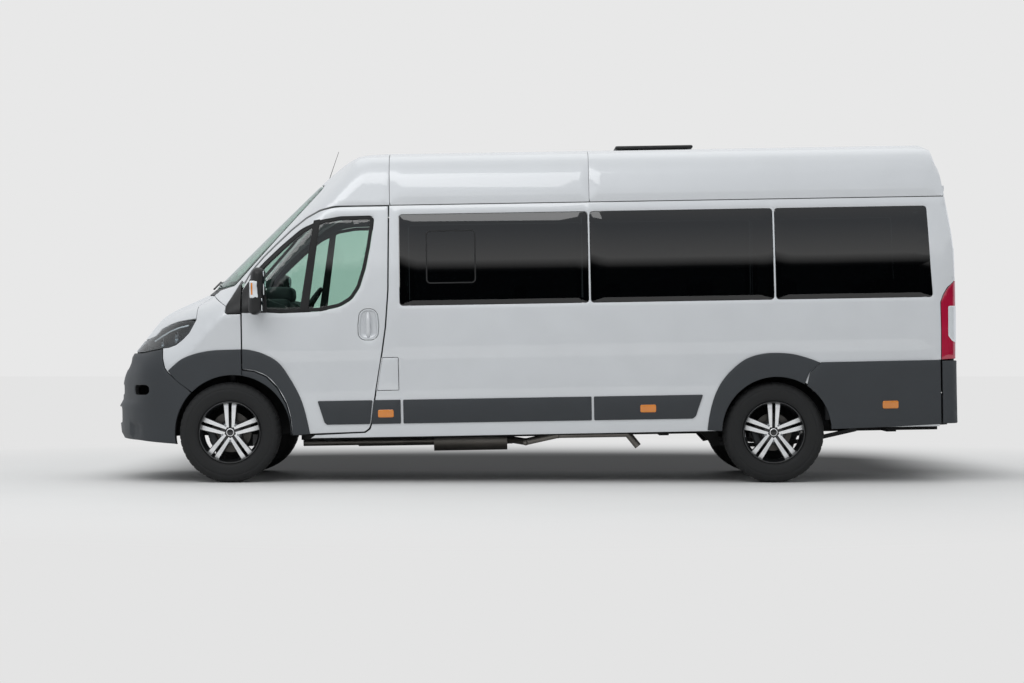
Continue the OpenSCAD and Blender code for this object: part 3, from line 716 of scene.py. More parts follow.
def tube(path: Points, radius: Sequence, sides: int = 16, cap: bool = True) -> MeshData:
    """A round bar along a path, in whatever units the path has.

    Args:
        path: points along the middle.
        radius: one radius for each point, or one for all.
        sides: corners round the bar.
        cap: whether its ends are closed.
    Returns:
        Mesh data with every face in slot 0.
    """
    path = np.asarray(path, float)
    r = np.broadcast_to(np.asarray(radius, float), (len(path),))
    t = np.gradient(path, axis=0)
    t /= np.linalg.norm(t, axis=1)[:, None]
    ref = np.array([0, 0, 1.0]) if abs(t[0, 2]) < 0.9 else np.array([1.0, 0, 0])
    pts, n0 = [], None
    for i in range(len(path)):
        n0 = ref if n0 is None else n0
        n = n0 - t[i] * (n0 @ t[i])
        n /= np.linalg.norm(n)
        n0 = n
        b = np.cross(t[i], n)
        a = np.linspace(0, 2 * math.pi, sides, endpoint=False)[:, None]
        pts.append(path[i] + r[i] * (np.cos(a) * n + np.sin(a) * b))
    faces = []
    for i in range(len(path) - 1):
        for j in range(sides):
            k = (j + 1) % sides
            faces.append((i * sides + j, i * sides + k, (i + 1) * sides + k, (i + 1) * sides + j))
    if cap:
        faces.append(tuple(range(sides))[::-1])
        faces.append(tuple(range((len(path) - 1) * sides, len(path) * sides)))
    return MeshData(np.concatenate(pts), faces, [0] * len(faces))


def spun(profile: Sequence, sides: int = 96, slots: Optional[Sequence] = None) -> MeshData:
    """Turns a profile of radius and height round the z axis.

    Args:
        profile: radius and height of each point.
        sides: steps round the axis.
        slots: material number of each profile segment.
    Returns:
        Mesh data about the origin.
    """
    prof = np.asarray(profile, float)
    a = np.linspace(0, 2 * math.pi, sides, endpoint=False)
    pts = np.stack([prof[:, None, 0] * np.cos(a), prof[:, None, 0] * np.sin(a),
            np.broadcast_to(prof[:, None, 1], (len(prof), sides))], -1).reshape(-1, 3)
    faces, out = [], []
    for i in range(len(prof) - 1):
        for j in range(sides):
            k = (j + 1) % sides
            faces.append((i * sides + j, i * sides + k, (i + 1) * sides + k, (i + 1) * sides + j))
            out.append(slots[i] if slots is not None else 0)
    return MeshData(pts, faces, out)


def placed(mesh: MeshData, matrix: Matrix) -> MeshData:
    """The mesh moved by a matrix.

    Args:
        mesh: the mesh.
        matrix: where it goes.
    Returns:
        The moved mesh.
    """
    m = np.array(matrix)
    p = mesh.points @ m[:3, :3].T + m[:3, 3]
    flip = np.linalg.det(m[:3, :3]) < 0
    return MeshData(p, [f[::-1] for f in mesh.faces] if flip else mesh.faces, list(mesh.slots))


def soft_block(size: Sequence, centre: Sequence, radius: float, steps: int = 4,
        bulge: float = 0.0) -> MeshData:
    """A box with rounded edges, as a moulded piece has.

    Args:
        size: its three lengths.
        centre: its middle.
        radius: radius of its edges.
        steps: facets of each rounded edge.
        bulge: how far its faces crown in the middle.
    Returns:
        Mesh data in the units given.
    """
    bm = bmesh.new()
    bmesh.ops.create_cube(bm, size=1.0)
    for v in bm.verts:
        v.co = Vector([v.co[i] * size[i] for i in range(3)])
    bmesh.ops.bevel(bm, geom=bm.edges[:] + bm.verts[:], offset=radius, segments=steps, profile=0.5,
            affect="EDGES")
    if bulge:
        bmesh.ops.subdivide_edges(bm, edges=bm.edges[:], cuts=2, use_grid_fill=True)
        half = [s / 2 for s in size]
        for v in bm.verts:
            for i in range(3):
                j, k = (i + 1) % 3, (i + 2) % 3
                if abs(v.co[i]) > half[i] * 0.98:
                    e = max(0.0, 1 - (v.co[j] / half[j]) ** 2) * max(0.0, 1 - (v.co[k] / half[k]) ** 2)
                    v.co[i] += math.copysign(bulge * e, v.co[i])
    pts = np.array([v.co[:] for v in bm.verts]) + np.array(centre)
    faces = [tuple(v.index for v in f.verts) for f in bm.faces]
    bm.free()
    return MeshData(pts, faces, [0] * len(faces))


# ---------------------------------------------------------------- finishes


def linear(hex_colour: str, alpha: float = 1.0) -> tuple:
    """Linear colour of an sRGB hex code.

    Args:
        hex_colour: six hex digits.
        alpha: fourth channel.
    Returns:
        Red, green, blue and alpha for a socket.
    """
    c = [int(hex_colour[i:i + 2], 16) / 255 for i in (0, 2, 4)]
    return tuple(v / 12.92 if v <= 0.04045 else ((v + 0.055) / 1.055) ** 2.4 for v in c) + (alpha,)


def add(tree: bpy.types.NodeTree, kind: str, links: Optional[dict] = None, **values) -> bpy.types.Node:
    """Adds a shader node.

    Args:
        tree: the material's node tree.
        kind: node type without its ShaderNode prefix.
        links: input names with the output sockets that feed them.
        values: node settings, and input values as in_<name> with _ for spaces.
    Returns:
        The new node.
    """
    node = tree.nodes.new("ShaderNode" + kind)
    for k, v in values.items():
        if k.startswith("in_"):
            name = k[3:].replace("_", " ")
            socket = node.inputs[int(name)] if name.isdigit() else node.inputs[name]
            socket.default_value = v
        else:
            setattr(node, k, v)
    for k, s in (links or {}).items():
        tree.links.new(s, node.inputs[k])
    return node


class Grain(Enum):
    """How a finish breaks up the light."""

    NONE = 0
    MOULDED = 1
    WOVEN = 2
    CAST = 3
    ORANGE_PEEL = 4


@dataclass(frozen=True)
class Finish:
    """One real material or process."""

    name: str
    colour: str
    metallic: float = 0.0
    roughness: float = 0.5
    ior: float = 1.5
    coat: float = 0.0
    coat_roughness: float = 0.03
    grain: Grain = Grain.MOULDED
    grain_mm: float = 1.2
    depth: float = 0.15
    shade: float = 0.06
    sheen: float = 0.0
    rough_spread: float = 0.06

    def material(self) -> bpy.types.Material:
        """Builds the node material, once.

        Returns:
            The material.
        """
        found = bpy.data.materials.get(self.name)
        if found is not None:
            return found
        mat = bpy.data.materials.new(self.name)
        mat.use_nodes = True
        t = mat.node_tree
        t.nodes.clear()
        where = add(t, "NewGeometry").outputs["Position"]
        cloud = add(t, "TexNoise", {"Vector": where}, in_Scale=1000 / 260, in_Detail=3.0)
        base = linear(self.colour)
        dark = tuple(c * (1 - self.shade) for c in base[:3]) + (1.0,)
        lift = tuple(min(1.0, c * (1 + self.shade)) for c in base[:3]) + (1.0,)
        tint = add(t, "ValToRGB", {"Fac": cloud.outputs["Fac"]})
        tint.color_ramp.elements[0].position = 0.35
        tint.color_ramp.elements[1].position = 0.65
        tint.color_ramp.elements[0].color = dark
        tint.color_ramp.elements[1].color = lift
        rough = add(t, "MapRange", {"Value": cloud.outputs["Fac"]},
                in_3=max(0.0, self.roughness - self.rough_spread),
                in_4=min(1.0, self.roughness + self.rough_spread))
        bsdf = add(t, "BsdfPrincipled", {"Base Color": tint.outputs["Color"],
                "Roughness": rough.outputs["Result"]}, in_Metallic=self.metallic, in_IOR=self.ior,
                in_Coat_Weight=self.coat, in_Coat_Roughness=self.coat_roughness, in_Sheen_Weight=self.sheen)
        height = self.height(t, where)
        if height is not None:
            bump = add(t, "Bump", {"Height": height}, in_Strength=self.depth,
                    in_Distance=self.grain_mm * MM * 0.5)
            t.links.new(bump.outputs["Normal"], bsdf.inputs["Normal"])
        out = add(t, "OutputMaterial")
        t.links.new(bsdf.outputs["BSDF"], out.inputs["Surface"])
        return mat

    def height(self, t: bpy.types.NodeTree, where: bpy.types.NodeSocket) -> Optional[bpy.types.NodeSocket]:
        """Height pattern of the grain.

        Args:
            t: the material's node tree.
            where: socket with the position.
        Returns:
            Socket with the height, or None where the finish is smooth.
        """
        scale = 1000 / self.grain_mm
        if self.grain is Grain.NONE:
            return None
        if self.grain is Grain.WOVEN:
            warp = add(t, "TexWave", {"Vector": where}, bands_direction="Y", in_Scale=scale / 6,
                    in_Distortion=0.6)
            weft = add(t, "TexWave", {"Vector": where}, bands_direction="Z", in_Scale=scale / 6,
                    in_Distortion=0.6)
            both = add(t, "Math", {0: warp.outputs["Fac"], 1: weft.outputs["Fac"]}, operation="MAXIMUM")
            return both.outputs["Value"]
        if self.grain is Grain.CAST:
            return add(t, "TexVoronoi", {"Vector": where}, in_Scale=scale).outputs["Distance"]
        detail = 1.0 if self.grain is Grain.ORANGE_PEEL else 3.0
        return add(t, "TexNoise", {"Vector": where}, in_Scale=scale, in_Detail=detail).outputs["Fac"]


@dataclass(frozen=True)
class Glazing:
    """Tinted glass: see-through, darker where it is looked at along its face, clear to shadow rays."""

    name: str
    tint: str
    veil: str
    density: float
    roughness: float = 0.0

    def material(self) -> bpy.types.Material:
        """Builds the node material, once.

        Returns:
            The material.
        """
        found = bpy.data.materials.get(self.name)
        if found is not None:
            return found
        mat = bpy.data.materials.new(self.name)
        mat.use_nodes = True
        t = mat.node_tree
        t.nodes.clear()
        where = add(t, "NewGeometry").outputs["Position"]
        wave = add(t, "TexNoise", {"Vector": where}, in_Scale=1.6, in_Detail=1.0)
        bump = add(t, "Bump", {"Height": wave.outputs["Fac"]}, in_Strength=0.03, in_Distance=0.004)
        clear = add(t, "BsdfTransparent", in_Color=linear(self.tint))
        veil = add(t, "BsdfDiffuse", in_Color=linear(self.veil))
        body = add(t, "MixShader", in_Fac=self.density)
        t.links.new(clear.outputs["BSDF"], body.inputs[1])
        t.links.new(veil.outputs["BSDF"], body.inputs[2])
        gloss = add(t, "BsdfGlossy", {"Normal": bump.outputs["Normal"]}, in_Roughness=self.roughness)
        edge = add(t, "Fresnel", {"Normal": bump.outputs["Normal"]}, in_IOR=1.72)
        outside = add(t, "Math", {1: add(t, "NewGeometry").outputs["Backfacing"]}, operation="SUBTRACT",
                in_0=1.0)
        shine = add(t, "Math", {0: edge.outputs["Fac"], 1: outside.outputs["Value"]}, operation="MULTIPLY")
        full = add(t, "MixShader", {"Fac": shine.outputs["Value"]})
        t.links.new(body.outputs["Shader"], full.inputs[1])
        t.links.new(gloss.outputs["BSDF"], full.inputs[2])
        path = add(t, "LightPath")
        shadow = add(t, "BsdfTransparent", in_Color=linear(self.tint))
        last = add(t, "MixShader", {"Fac": path.outputs["Is Shadow Ray"]})
        t.links.new(full.outputs["Shader"], last.inputs[1])
        t.links.new(shadow.outputs["BSDF"], last.inputs[2])
        out = add(t, "OutputMaterial")
        t.links.new(last.outputs["Shader"], out.inputs["Surface"])
        return mat


# Silver-white clear-coated paint: even, cool and bright, with a soft mirror over it
PAINT = Finish("silver_white_clearcoat_paint", "d0d3d6", 0.15, 0.4, coat=1.0, grain=Grain.ORANGE_PEEL,
        grain_mm=6.0, depth=0.02, shade=0.01)
# Inside of painted steel panels: the same white, duller
INNER = Finish("painted_inner_panel", "aeb1b3", 0.0, 0.55, grain=Grain.ORANGE_PEEL, grain_mm=4.0, depth=0.05)
# Grained polypropylene bumpers and cladding: dark blue-grey, matt
CLADDING = Finish("grained_polypropylene", "2f3337", 0.0, 0.55, grain_mm=1.0, depth=0.35, shade=0.04)
# Black moulded plastic of grilles, mirror backs, wiper arms and shut-line seals
BLACK = Finish("black_moulded_plastic", "131415", 0.0, 0.45, grain_mm=0.9, depth=0.25)
# Rubber seal between panels and panes
SEAL = Finish("epdm_seal_rubber", "0c0d0e", 0.0, 0.65, grain_mm=0.8, depth=0.2)
# Black ceramic border baked onto the glass
FRIT = Finish("ceramic_frit_glass", "0b0c0d", 0.0, 0.06, 1.52, grain=Grain.NONE, shade=0.02,
        rough_spread=0.02)
# Tyre rubber: dark grey, matt, slightly dusty
TYRE = Finish("tyre_rubber", "131415", 0.0, 0.72, grain_mm=1.5, depth=0.3, shade=0.12)
# Diamond-turned aluminium face of the rims
TURNED = Finish("turned_aluminium", "f0f1f2", 0.35, 0.3, grain=Grain.NONE, coat=0.6, shade=0.03)
# Gloss black lacquer in the pockets of the rims
POCKET = Finish("black_wheel_lacquer", "17181a", 0.1, 0.3, coat=0.8, grain=Grain.ORANGE_PEEL, grain_mm=3.0,
        depth=0.05)
# Zinc-plated wheel nuts and small hardware
ZINC = Finish("zinc_plated_steel", "9a9d9f", 0.9, 0.35, grain_mm=0.8, depth=0.1)
# Machined cast iron of the brake discs
DISC = Finish("machined_cast_iron", "5c5a57", 0.9, 0.38, grain_mm=0.7, depth=0.15, shade=0.1)
# Black e-coat on axles, arms and rails: satin, dusty
CHASSIS = Finish("e_coated_steel", "202224", 0.2, 0.5, grain_mm=2.0, depth=0.2, shade=0.12)
# Underbody wax and textile wheel-house liners: nearly black, matt
LINER = Finish("textile_wheel_liner", "101112", 0.0, 0.85, grain_mm=1.6, depth=0.5, shade=0.15)
# Cast engine block and gearbox
IRON = Finish("sand_cast_iron", "4c4e50", 0.7, 0.6, grain=Grain.CAST, grain_mm=2.5, depth=0.4, shade=0.12)
# Aluminised exhaust pipe: warm grey
EXHAUST = Finish("aluminised_steel", "7c7873", 0.85, 0.42, grain_mm=1.5, depth=0.2, shade=0.15)
# Chrome of the lamps' reflectors, darkened as painted shade that stands in for the dark lamp housing a real
# reflector mirrors
SHADED_CHROME = Finish("smoked_chrome_reflector", "6d7175", 0.95, 0.16, grain=Grain.NONE, shade=0.05)
# Grained dark grey dashboard and door trims
TRIM = Finish("grained_dashboard_skin", "2c2e31", 0.0, 0.6, grain_mm=1.2, depth=0.4, shade=0.05)
# Pale grey headliner and side trims
LINING = Finish("pale_trim_laminate", "a5a7a8", 0.0, 0.8, grain_mm=2.0, depth=0.3, shade=0.04)
# Dark blue-grey woven seat cloth
CLOTH = Finish("woven_seat_cloth", "363a40", 0.0, 0.9, grain=Grain.WOVEN, grain_mm=1.4, depth=0.6,
        shade=0.1, sheen=0.3)
# Mirror glass
MIRROR = Finish("silvered_mirror_glass", "d8dcde", 1.0, 0.02, grain=Grain.NONE, shade=0.01, rough_spread=0.01)
# Cab glass: faint green, clear enough to see the seats
CAB_GLASS = Glazing("green_cab_glass", "e4f1ec", "35403c", 0.012)
# Passenger glass: privacy tint, near black from outside
DARK_GLASS = Glazing("privacy_tint_glass", "6d7375", "050607", 0.15)
# Clear lens of headlamps and markers
LENS = Glazing("clear_polycarbonate_lens", "f2f5f6", "c8ccd0", 0.01)
# Red and amber lenses
RED_LENS = Finish("red_moulded_lens", "a51336", 0.0, 0.12, 1.58, coat=1.0, grain=Grain.NONE, shade=0.12)
AMBER_LENS = Finish("amber_moulded_lens", "d07a12", 0.0, 0.15, 1.58, coat=1.0, grain=Grain.NONE, shade=0.08)
SMOKE_LENS = Finish("pale_moulded_lens", "d9dde0", 0.1, 0.12, 1.58, coat=1.0, grain=Grain.NONE, shade=0.05)


# ---------------------------------------------------------------- pieces


@dataclass
class Piece:
    """A named piece with its finishes and the body it rides."""

    name: str
    mesh: MeshData
    finishes: tuple
    body: str = "bodywork"
    nodes: tuple = ()
    slot: str = ""
    sharp: float = 38.0

    def place(self) -> bpy.types.Object:
        """Makes the object, joins it to its body and logs it.

        Returns:
            The new object.
        """
        obj = make_object(self.name, self.mesh, [f.material() for f in self.finishes], self.sharp)
        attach(obj, self.body)
        if self.nodes:
            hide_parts(*self.nodes)
        LOG.info("%s: %d faces", self.name, len(obj.data.polygons))
        return obj


class SubAssembly(ABC):
    """Part of the vehicle: builds its pieces, then places and dresses them."""

    def __init__(self) -> None:
        """Starts with no pieces."""
        self.pieces: list = []

    @abstractmethod
    def build(self) -> None:
        """Makes the pieces."""

    def piece(self, *args, **values) -> None:
        """Adds a piece; its arguments are those of Piece."""
        self.pieces.append(Piece(*args, **values))

    def both(self, name: str, mesh: MeshData, finishes: tuple, body: str = "bodywork", nodes: tuple = (),
            slot: str = "", sharp: float = 38.0) -> None:
        """Adds a piece for the left side and its mirror image for the right.

        Args:
            name: piece name with {side} in it; body and node names may have it too.
            mesh: the left piece.
            finishes: its finishes.
            body: body it rides.
            nodes: CAD nodes it stands for.
            slot: the record's material slot.
            sharp: angle of sharp edges.
        """
        for side in Side:
            m = mesh if side is Side.LEFT else mesh.mirrored()
            w = side.word
            self.piece(name.format(side=w), m, finishes, body.format(side=w),
                    tuple(n.format(side=w) for n in nodes), slot, sharp)

    def dress(self) -> None:
        """Places every piece with its finishes."""
        for piece in self.pieces:
            piece.place()


@dataclass
class Pressing:
    """A moulding on the body's surface: rings of its outline at stated insets and heights."""

    chart: Chart
    outline: Points
    steps: Sequence
    spacing: float = 60.0
    slots: Optional[Sequence] = None
    cap_slot: int = 0
    crown: Optional[Callable] = None

    def build(self) -> MeshData:
        """Makes the moulding's mesh.

        Returns:
            The mesh, open at its first ring.
        """
        outer = self.outline if area(self.outline) > 0 else self.outline[::-1]
        n = len(outer)
        uv, tris, index = triangulate([inset(outer, self.steps[-1][0])], self.spacing)
        base = self.chart.lift(uv)
        nrm = SHAPE.normal(base)
        rise = np.full(len(uv), float(self.steps[-1][1]))
        if self.crown is not None:
            rise = rise + self.crown(base)
        top = base + nrm * rise[:, None]
        tri = top[tris[:100]]
        face = np.cross(tri[:, 1] - tri[:, 0], tri[:, 2] - tri[:, 0])
        flip = float(np.sum(face * nrm[tris[:100, 0]])) < 0
        faces = [tuple(t[::-1]) if flip else tuple(t) for t in tris.tolist()]
        slots = [self.cap_slot] * len(faces)
        pts, count, before = [top], len(top), index[0]
        for j in range(len(self.steps) - 2, -1, -1):
            d, h = self.steps[j]
            ring = self.chart.lift(inset(outer, d))
            pts.append(ring + SHAPE.normal(ring) * h)
            ids = list(range(count, count + n))
            count += n
            for i in range(n):
                quad = (before[i], ids[i], ids[(i + 1) % n], before[(i + 1) % n])
                faces.append(quad[::-1] if flip else quad)
                slots.append(self.slots[j] if self.slots is not None else 0)
            before = ids
        return MeshData(to_row(np.concatenate(pts)), faces, slots)


class TailChart(Chart):
    """Rear view: y and z, looking forward."""

    def ray(self, uv: Points) -> tuple:
        """Rays straight back."""
        n = np.zeros(len(uv))
        return (np.stack([n + 4600, uv[:, 0], uv[:, 1]], -1), np.stack([n + 6200, uv[:, 0], uv[:, 1]], -1))


class FrontChart(Chart):
    """Front view: y and z, looking back."""

    def ray(self, uv: Points) -> tuple:
        """Rays straight forwards."""
        n = np.zeros(len(uv))
        return (np.stack([n + 1500, uv[:, 0], uv[:, 1]], -1), np.stack([n - 1600, uv[:, 0], uv[:, 1]], -1))


TAIL, FRONT = TailChart(), FrontChart()


def across(chart: Chart, target: Chart, points: Sequence) -> Points:
    """Takes map points of one chart over to another."""
    return target.locate(chart.lift(np.asarray(points, float)))


def line(points: Sequence, step: float = 14.0) -> Points:
    """Open line with points at most step apart.

    Args:
        points: corner points, two or more columns.
        step: greatest distance between points.
    Returns:
        Points along the line.
    """
    p = np.asarray(points, float)
    out = []
    for a, b in zip(p[:-1], p[1:]):
        n = max(1, int(np.ceil(np.linalg.norm(b - a) / step)))
        out.append(a + (b - a) * (np.arange(n) / n)[:, None])
    out.append(p[-1:])
    return np.concatenate(out)


def resampled(loop: Points, step: float) -> Points:
    """Closed outline with its points spaced evenly enough, its close pairs merged.

    Args:
        loop: closed outline.
        step: distance between points.
    Returns:
        The outline with even steps.
    """
    keep = [loop[0]]
    for q in loop[1:]:
        if np.linalg.norm(q - keep[-1]) > step * 0.35:
            keep.append(q)
    if np.linalg.norm(keep[-1] - keep[0]) < step * 0.35:
        keep.pop()
    return densify(np.array(keep), step)


def wrap(points: Sequence) -> list:
    """Side-view points as points of the wrap chart."""
    return WRAP.from_side(np.asarray(points, float)).tolist()


# Outlines in the side view: x behind the front axle and z
DOOR = [(110, 836, 6), (110, 1425, 40), (130, 1476, 60), (182, 1572, 200), (272, 1674, 300),
        (370, 1768, 400), (483, 1870, 400), (595, 1954, 200), (700, 2008, 200), (790, 2028, 200),
        (860, 2034, 100), (1206, 2034, 4), (1194, 1407, 400), (1172, 1134, 500), (1144, 949, 400),
        (1096, 673, 300), (1078, 560, 300), (1060, 430, 60), (1044, 385, 40), (1008, 360, 30),
        (472, 348, 6), (462, 470, 200), (436, 575, 160), (372, 696, 150), (290, 783, 120), (198, 824, 80)]
DOOR_PANE = [(157, 1268, 6), (400, 1250, 200), (690, 1258, 300), (840, 1288, 200), (930, 1340, 130),
        (990, 1430, 160), (1035, 1570, 300), (1068, 1730, 400), (1092, 1880, 60), (1100, 1962, 34),
        (850, 1960, 200), (706, 1936, 200), (557, 1874, 300), (407, 1752, 400), (294, 1650, 400),
        (200, 1556, 200), (164, 1500, 80), (153, 1440, 80)]
ARCH = (32.0, 367.0, 430.0)
REAR_ARCH = (WHEELBASE + 23.0, 312.0, 405.0)
LAMP_TO_WING = [(-240, 1200), (-290, 1114), (-339, 1066), (-389, 1028), (-444, 1010), (-494, 1004)]
WING_TO_BUMPER = [(-491, 930), (-474, 858), (-450, 825), (-380, 762), (-300, 700)]
SEAM = [(-121, 1392), (-70, 1352), (-8, 1308)]
LAMP_TOP = [(-232, 1208), (-305, 1206), (-385, 1196), (-450, 1176), (-524, 1144), (-574, 1092), (-640, 1070)]
GUTTER = 2040.0
DOOR_TOP = 2256.0
CORNER_Y = -886.0
LAMP_LINE = [(REAR_END - 133, 822), (REAR_END - 130, 1250), (REAR_END - 108, 1306), (REAR_END - 72, 1362),
        (REAR_END - 20, 1408)]
PANES = [((1283, 1290), (2684, 1290), (2684, 1968), (1283, 1968)),
        ((2700, 1290), (4056, 1290), (4056, 1968), (2700, 1968)),
        ((4072, 1290), (5230, 1290), (5200, 1968), (4072, 1968))]
SLIDER = [(1240, 345, 10), (1230, 2030, 16), (2686, 2030, 16), (2692, 1300, 60), (2688, 345, 10)]
FLAP = [(1146, 908, 8), (1266, 908, 8), (1268, 664, 8), (1104, 664, 8)]


def crease(p: Points) -> Points:
    """Soft fold along the flanks, a hand's breadth over the wheel arches' tops.

    Args:
        p: points of the surface.
    Returns:
        Rise at each point, in millimetres.
    """
    x, y, z = p[..., 0], np.abs(p[..., 1]), p[..., 2]
    side = np.clip((y - 940) / 40, 0, 1) * np.clip((x - 120) / 260, 0, 1) * np.clip((5290 - x) / 200, 0, 1)
    t = np.clip((948 - z) / 26, 0, 1)
    back = np.clip((z - 640) / 200, 0, 1)
    return -5.0 * side * (t * t * (3 - 2 * t)) * back


ROOF_SEAMS = (1216.0, 2700.0)


class Shell(SubAssembly):
    """Side walls, roof and windscreen frame."""

    def wall_outline(self) -> Points:
        """Outline of the left side wall in the wrap chart.

        Returns:
            The closed outline.
        """
        front = [(1212, GUTTER - 3), (1200, 1407), (1178, 1134), (1150, 949), (1102, 673), (1084, 560),
                (1066, 430), (1050, 379), (1012, 353), (640, 342), (606, 318)]
        c = REAR_ARCH
        a0, a1 = 180 + math.degrees(math.asin((c[1] - 322) / (c[2] + 12))), math.degrees(math.asin((322
                - c[1]) / (c[2] + 12)))
        arch = arc(c[0], c[1], c[2] + 12, a0, a1, 60)
        tail = line([(REAR_END - 150, 330), (REAR_END - 150, 822)])[::3]
        lamp = wrap(LAMP_LINE)
        up = across(TAIL, WRAP, line([(CORNER_Y, 1416), (CORNER_Y, GUTTER - 3)], 40)).tolist()
        pts = [tuple(q) for q in front] + [(1500, 318)] + [tuple(q) for q in arch]
        pts += [(4700, 330)] + [tuple(q) for q in wrap(tail)] + [tuple(q) for q in lamp] + [tuple(q)
                for q in up]
        return resampled(densify(np.array(pts), 16), 16)

    def roof_outline(self, x0: float, x1: Optional[float] = None) -> Points:
        """Outline of a roof panel in the roof chart, from x0 to x1 or to the rear doors.

        Args:
            x0: front end.
            x1: rear end, or none for the panel that meets the rear doors.
        Returns:
            The closed outline.
        """
        side = SIDE.lift(np.array([(x, GUTTER) for x in np.linspace(x0 + 6, x1 or 5250, 160)]))
        corner = TAIL.lift(line([(-925, GUTTER), (CORNER_Y + 3, GUTTER), (-877, 2098), (-858, 2158),
                (-822, 2222), (-785, 2250), (-750, DOOR_TOP), (0, DOOR_TOP)], 22))
        left = ROOF.locate(side if x1 else np.concatenate([side, corner]))
        if x1:
            left = np.concatenate([left, np.stack([np.full(60, x1),
                    np.linspace(left[-1, 1] + 12, 1570.8, 60)], -1)])
        front = np.stack([np.full(60, x0), np.linspace(1570.8, left[0, 1] + 20, 60)], -1)
        half = np.concatenate([front, left])
        right = half[::-1].copy()
        right[:, 1] = 1000 * math.pi - right[:, 1]
        return resampled(np.concatenate([half, right]), 24)

    def frame_outline(self) -> Points:
        """Outline of the windscreen frame and pillars in the screen chart.

        Returns:
            The closed outline.
        """
        low = SIDE.lift(line(SEAM + [(100, 1500), (104, 1440)], 16))
        door = SIDE.lift(line([(122, 1478), (174, 1577), (264, 1680), (363, 1775), (476, 1877), (590, 1962),
                (697, 2015), (788, 2036), (822, GUTTER), (ROOF_SEAMS[0], GUTTER)], 18))
        low = low[low[:, 2] > 1300]
        top = ROOF.lift(np.stack([np.full(70, ROOF_SEAMS[0]), np.linspace(ROOF.locate(door[-1:])[0, 1],
                1570.8, 70)], -1))
        left = SCREEN.locate(np.concatenate([low[:-4], door, top]))
        inner = SCREEN.locate(FRONT.lift(line([(-672, 1432), (-830, 1462), (-826, 1500), (-806, 1600),
                (-764, 1800), (-700, 2100), (-682, 2168), (-640, 2210), (-560, 2216), (0, 2236)],
                18)))[::-1]
        mirror = lambda q: np.stack([q[::-1, 0], -q[::-1, 1]], -1)
        loop = np.concatenate([left, mirror(left)[1:], mirror(inner), inner[1:]])
        return loop

    def build(self) -> None:
        """Makes the walls, the roof and the frame."""
        panes = [resampled(rounded([(a, b, 24) for a, b in wrap(p)], 24, 24), 18) for p in PANES]
        flap = rounded(FLAP, 8, 12)
        left = Panel(WRAP, self.wall_outline(), panes + [flap], relief=crease, spacing=48, gap=1.5).build()
        self.piece("left_side_wall_panel", left, (PAINT, LINING), nodes=("left_side_wall",), slot="paint")
        slider = resampled(rounded(SLIDER, 12, 20), 18)
        right = Panel(WRAP, self.wall_outline(), panes[1:] + [inset(slider, -2)], relief=crease, spacing=48,
                gap=1.5).build().mirrored()
        self.piece("right_side_wall_panel", right, (PAINT, LINING), nodes=("right_side_wall",), slot="paint")
        door = Panel(WRAP, slider, [panes[0]], relief=crease, spacing=48).build().mirrored()
        self.piece("sliding_door_panel", door, (PAINT, LINING), nodes=("sliding_door",), slot="paint")
        roof = join([Panel(ROOF, self.roof_outline(*ends), [], spacing=60, gap=1.0).build()
                for ends in ((ROOF_SEAMS[0], ROOF_SEAMS[1]), (ROOF_SEAMS[1],))])
        self.piece("roof_panel", roof, (PAINT, LINING), nodes=("roof",), slot="paint")
        frame_panel = Panel(SCREEN, self.frame_outline(), [], spacing=40, gap=1.5).build()
        self.piece("windscreen_frame", frame_panel, (PAINT, LINING), nodes=("cab_frame",), slot="paint")
        flap_panel = Panel(WRAP, flap, [], thick=6, spacing=40, relief=crease).build()
        self.piece("fuel_flap_panel", flap_panel, (PAINT, INNER), "fuel_flap", ("fuel_flap",), "paint")


def wing_side(points: Sequence) -> list:
    """Side-view points near the front, taken to the wrap chart."""
    return wrap(line(points, 14))


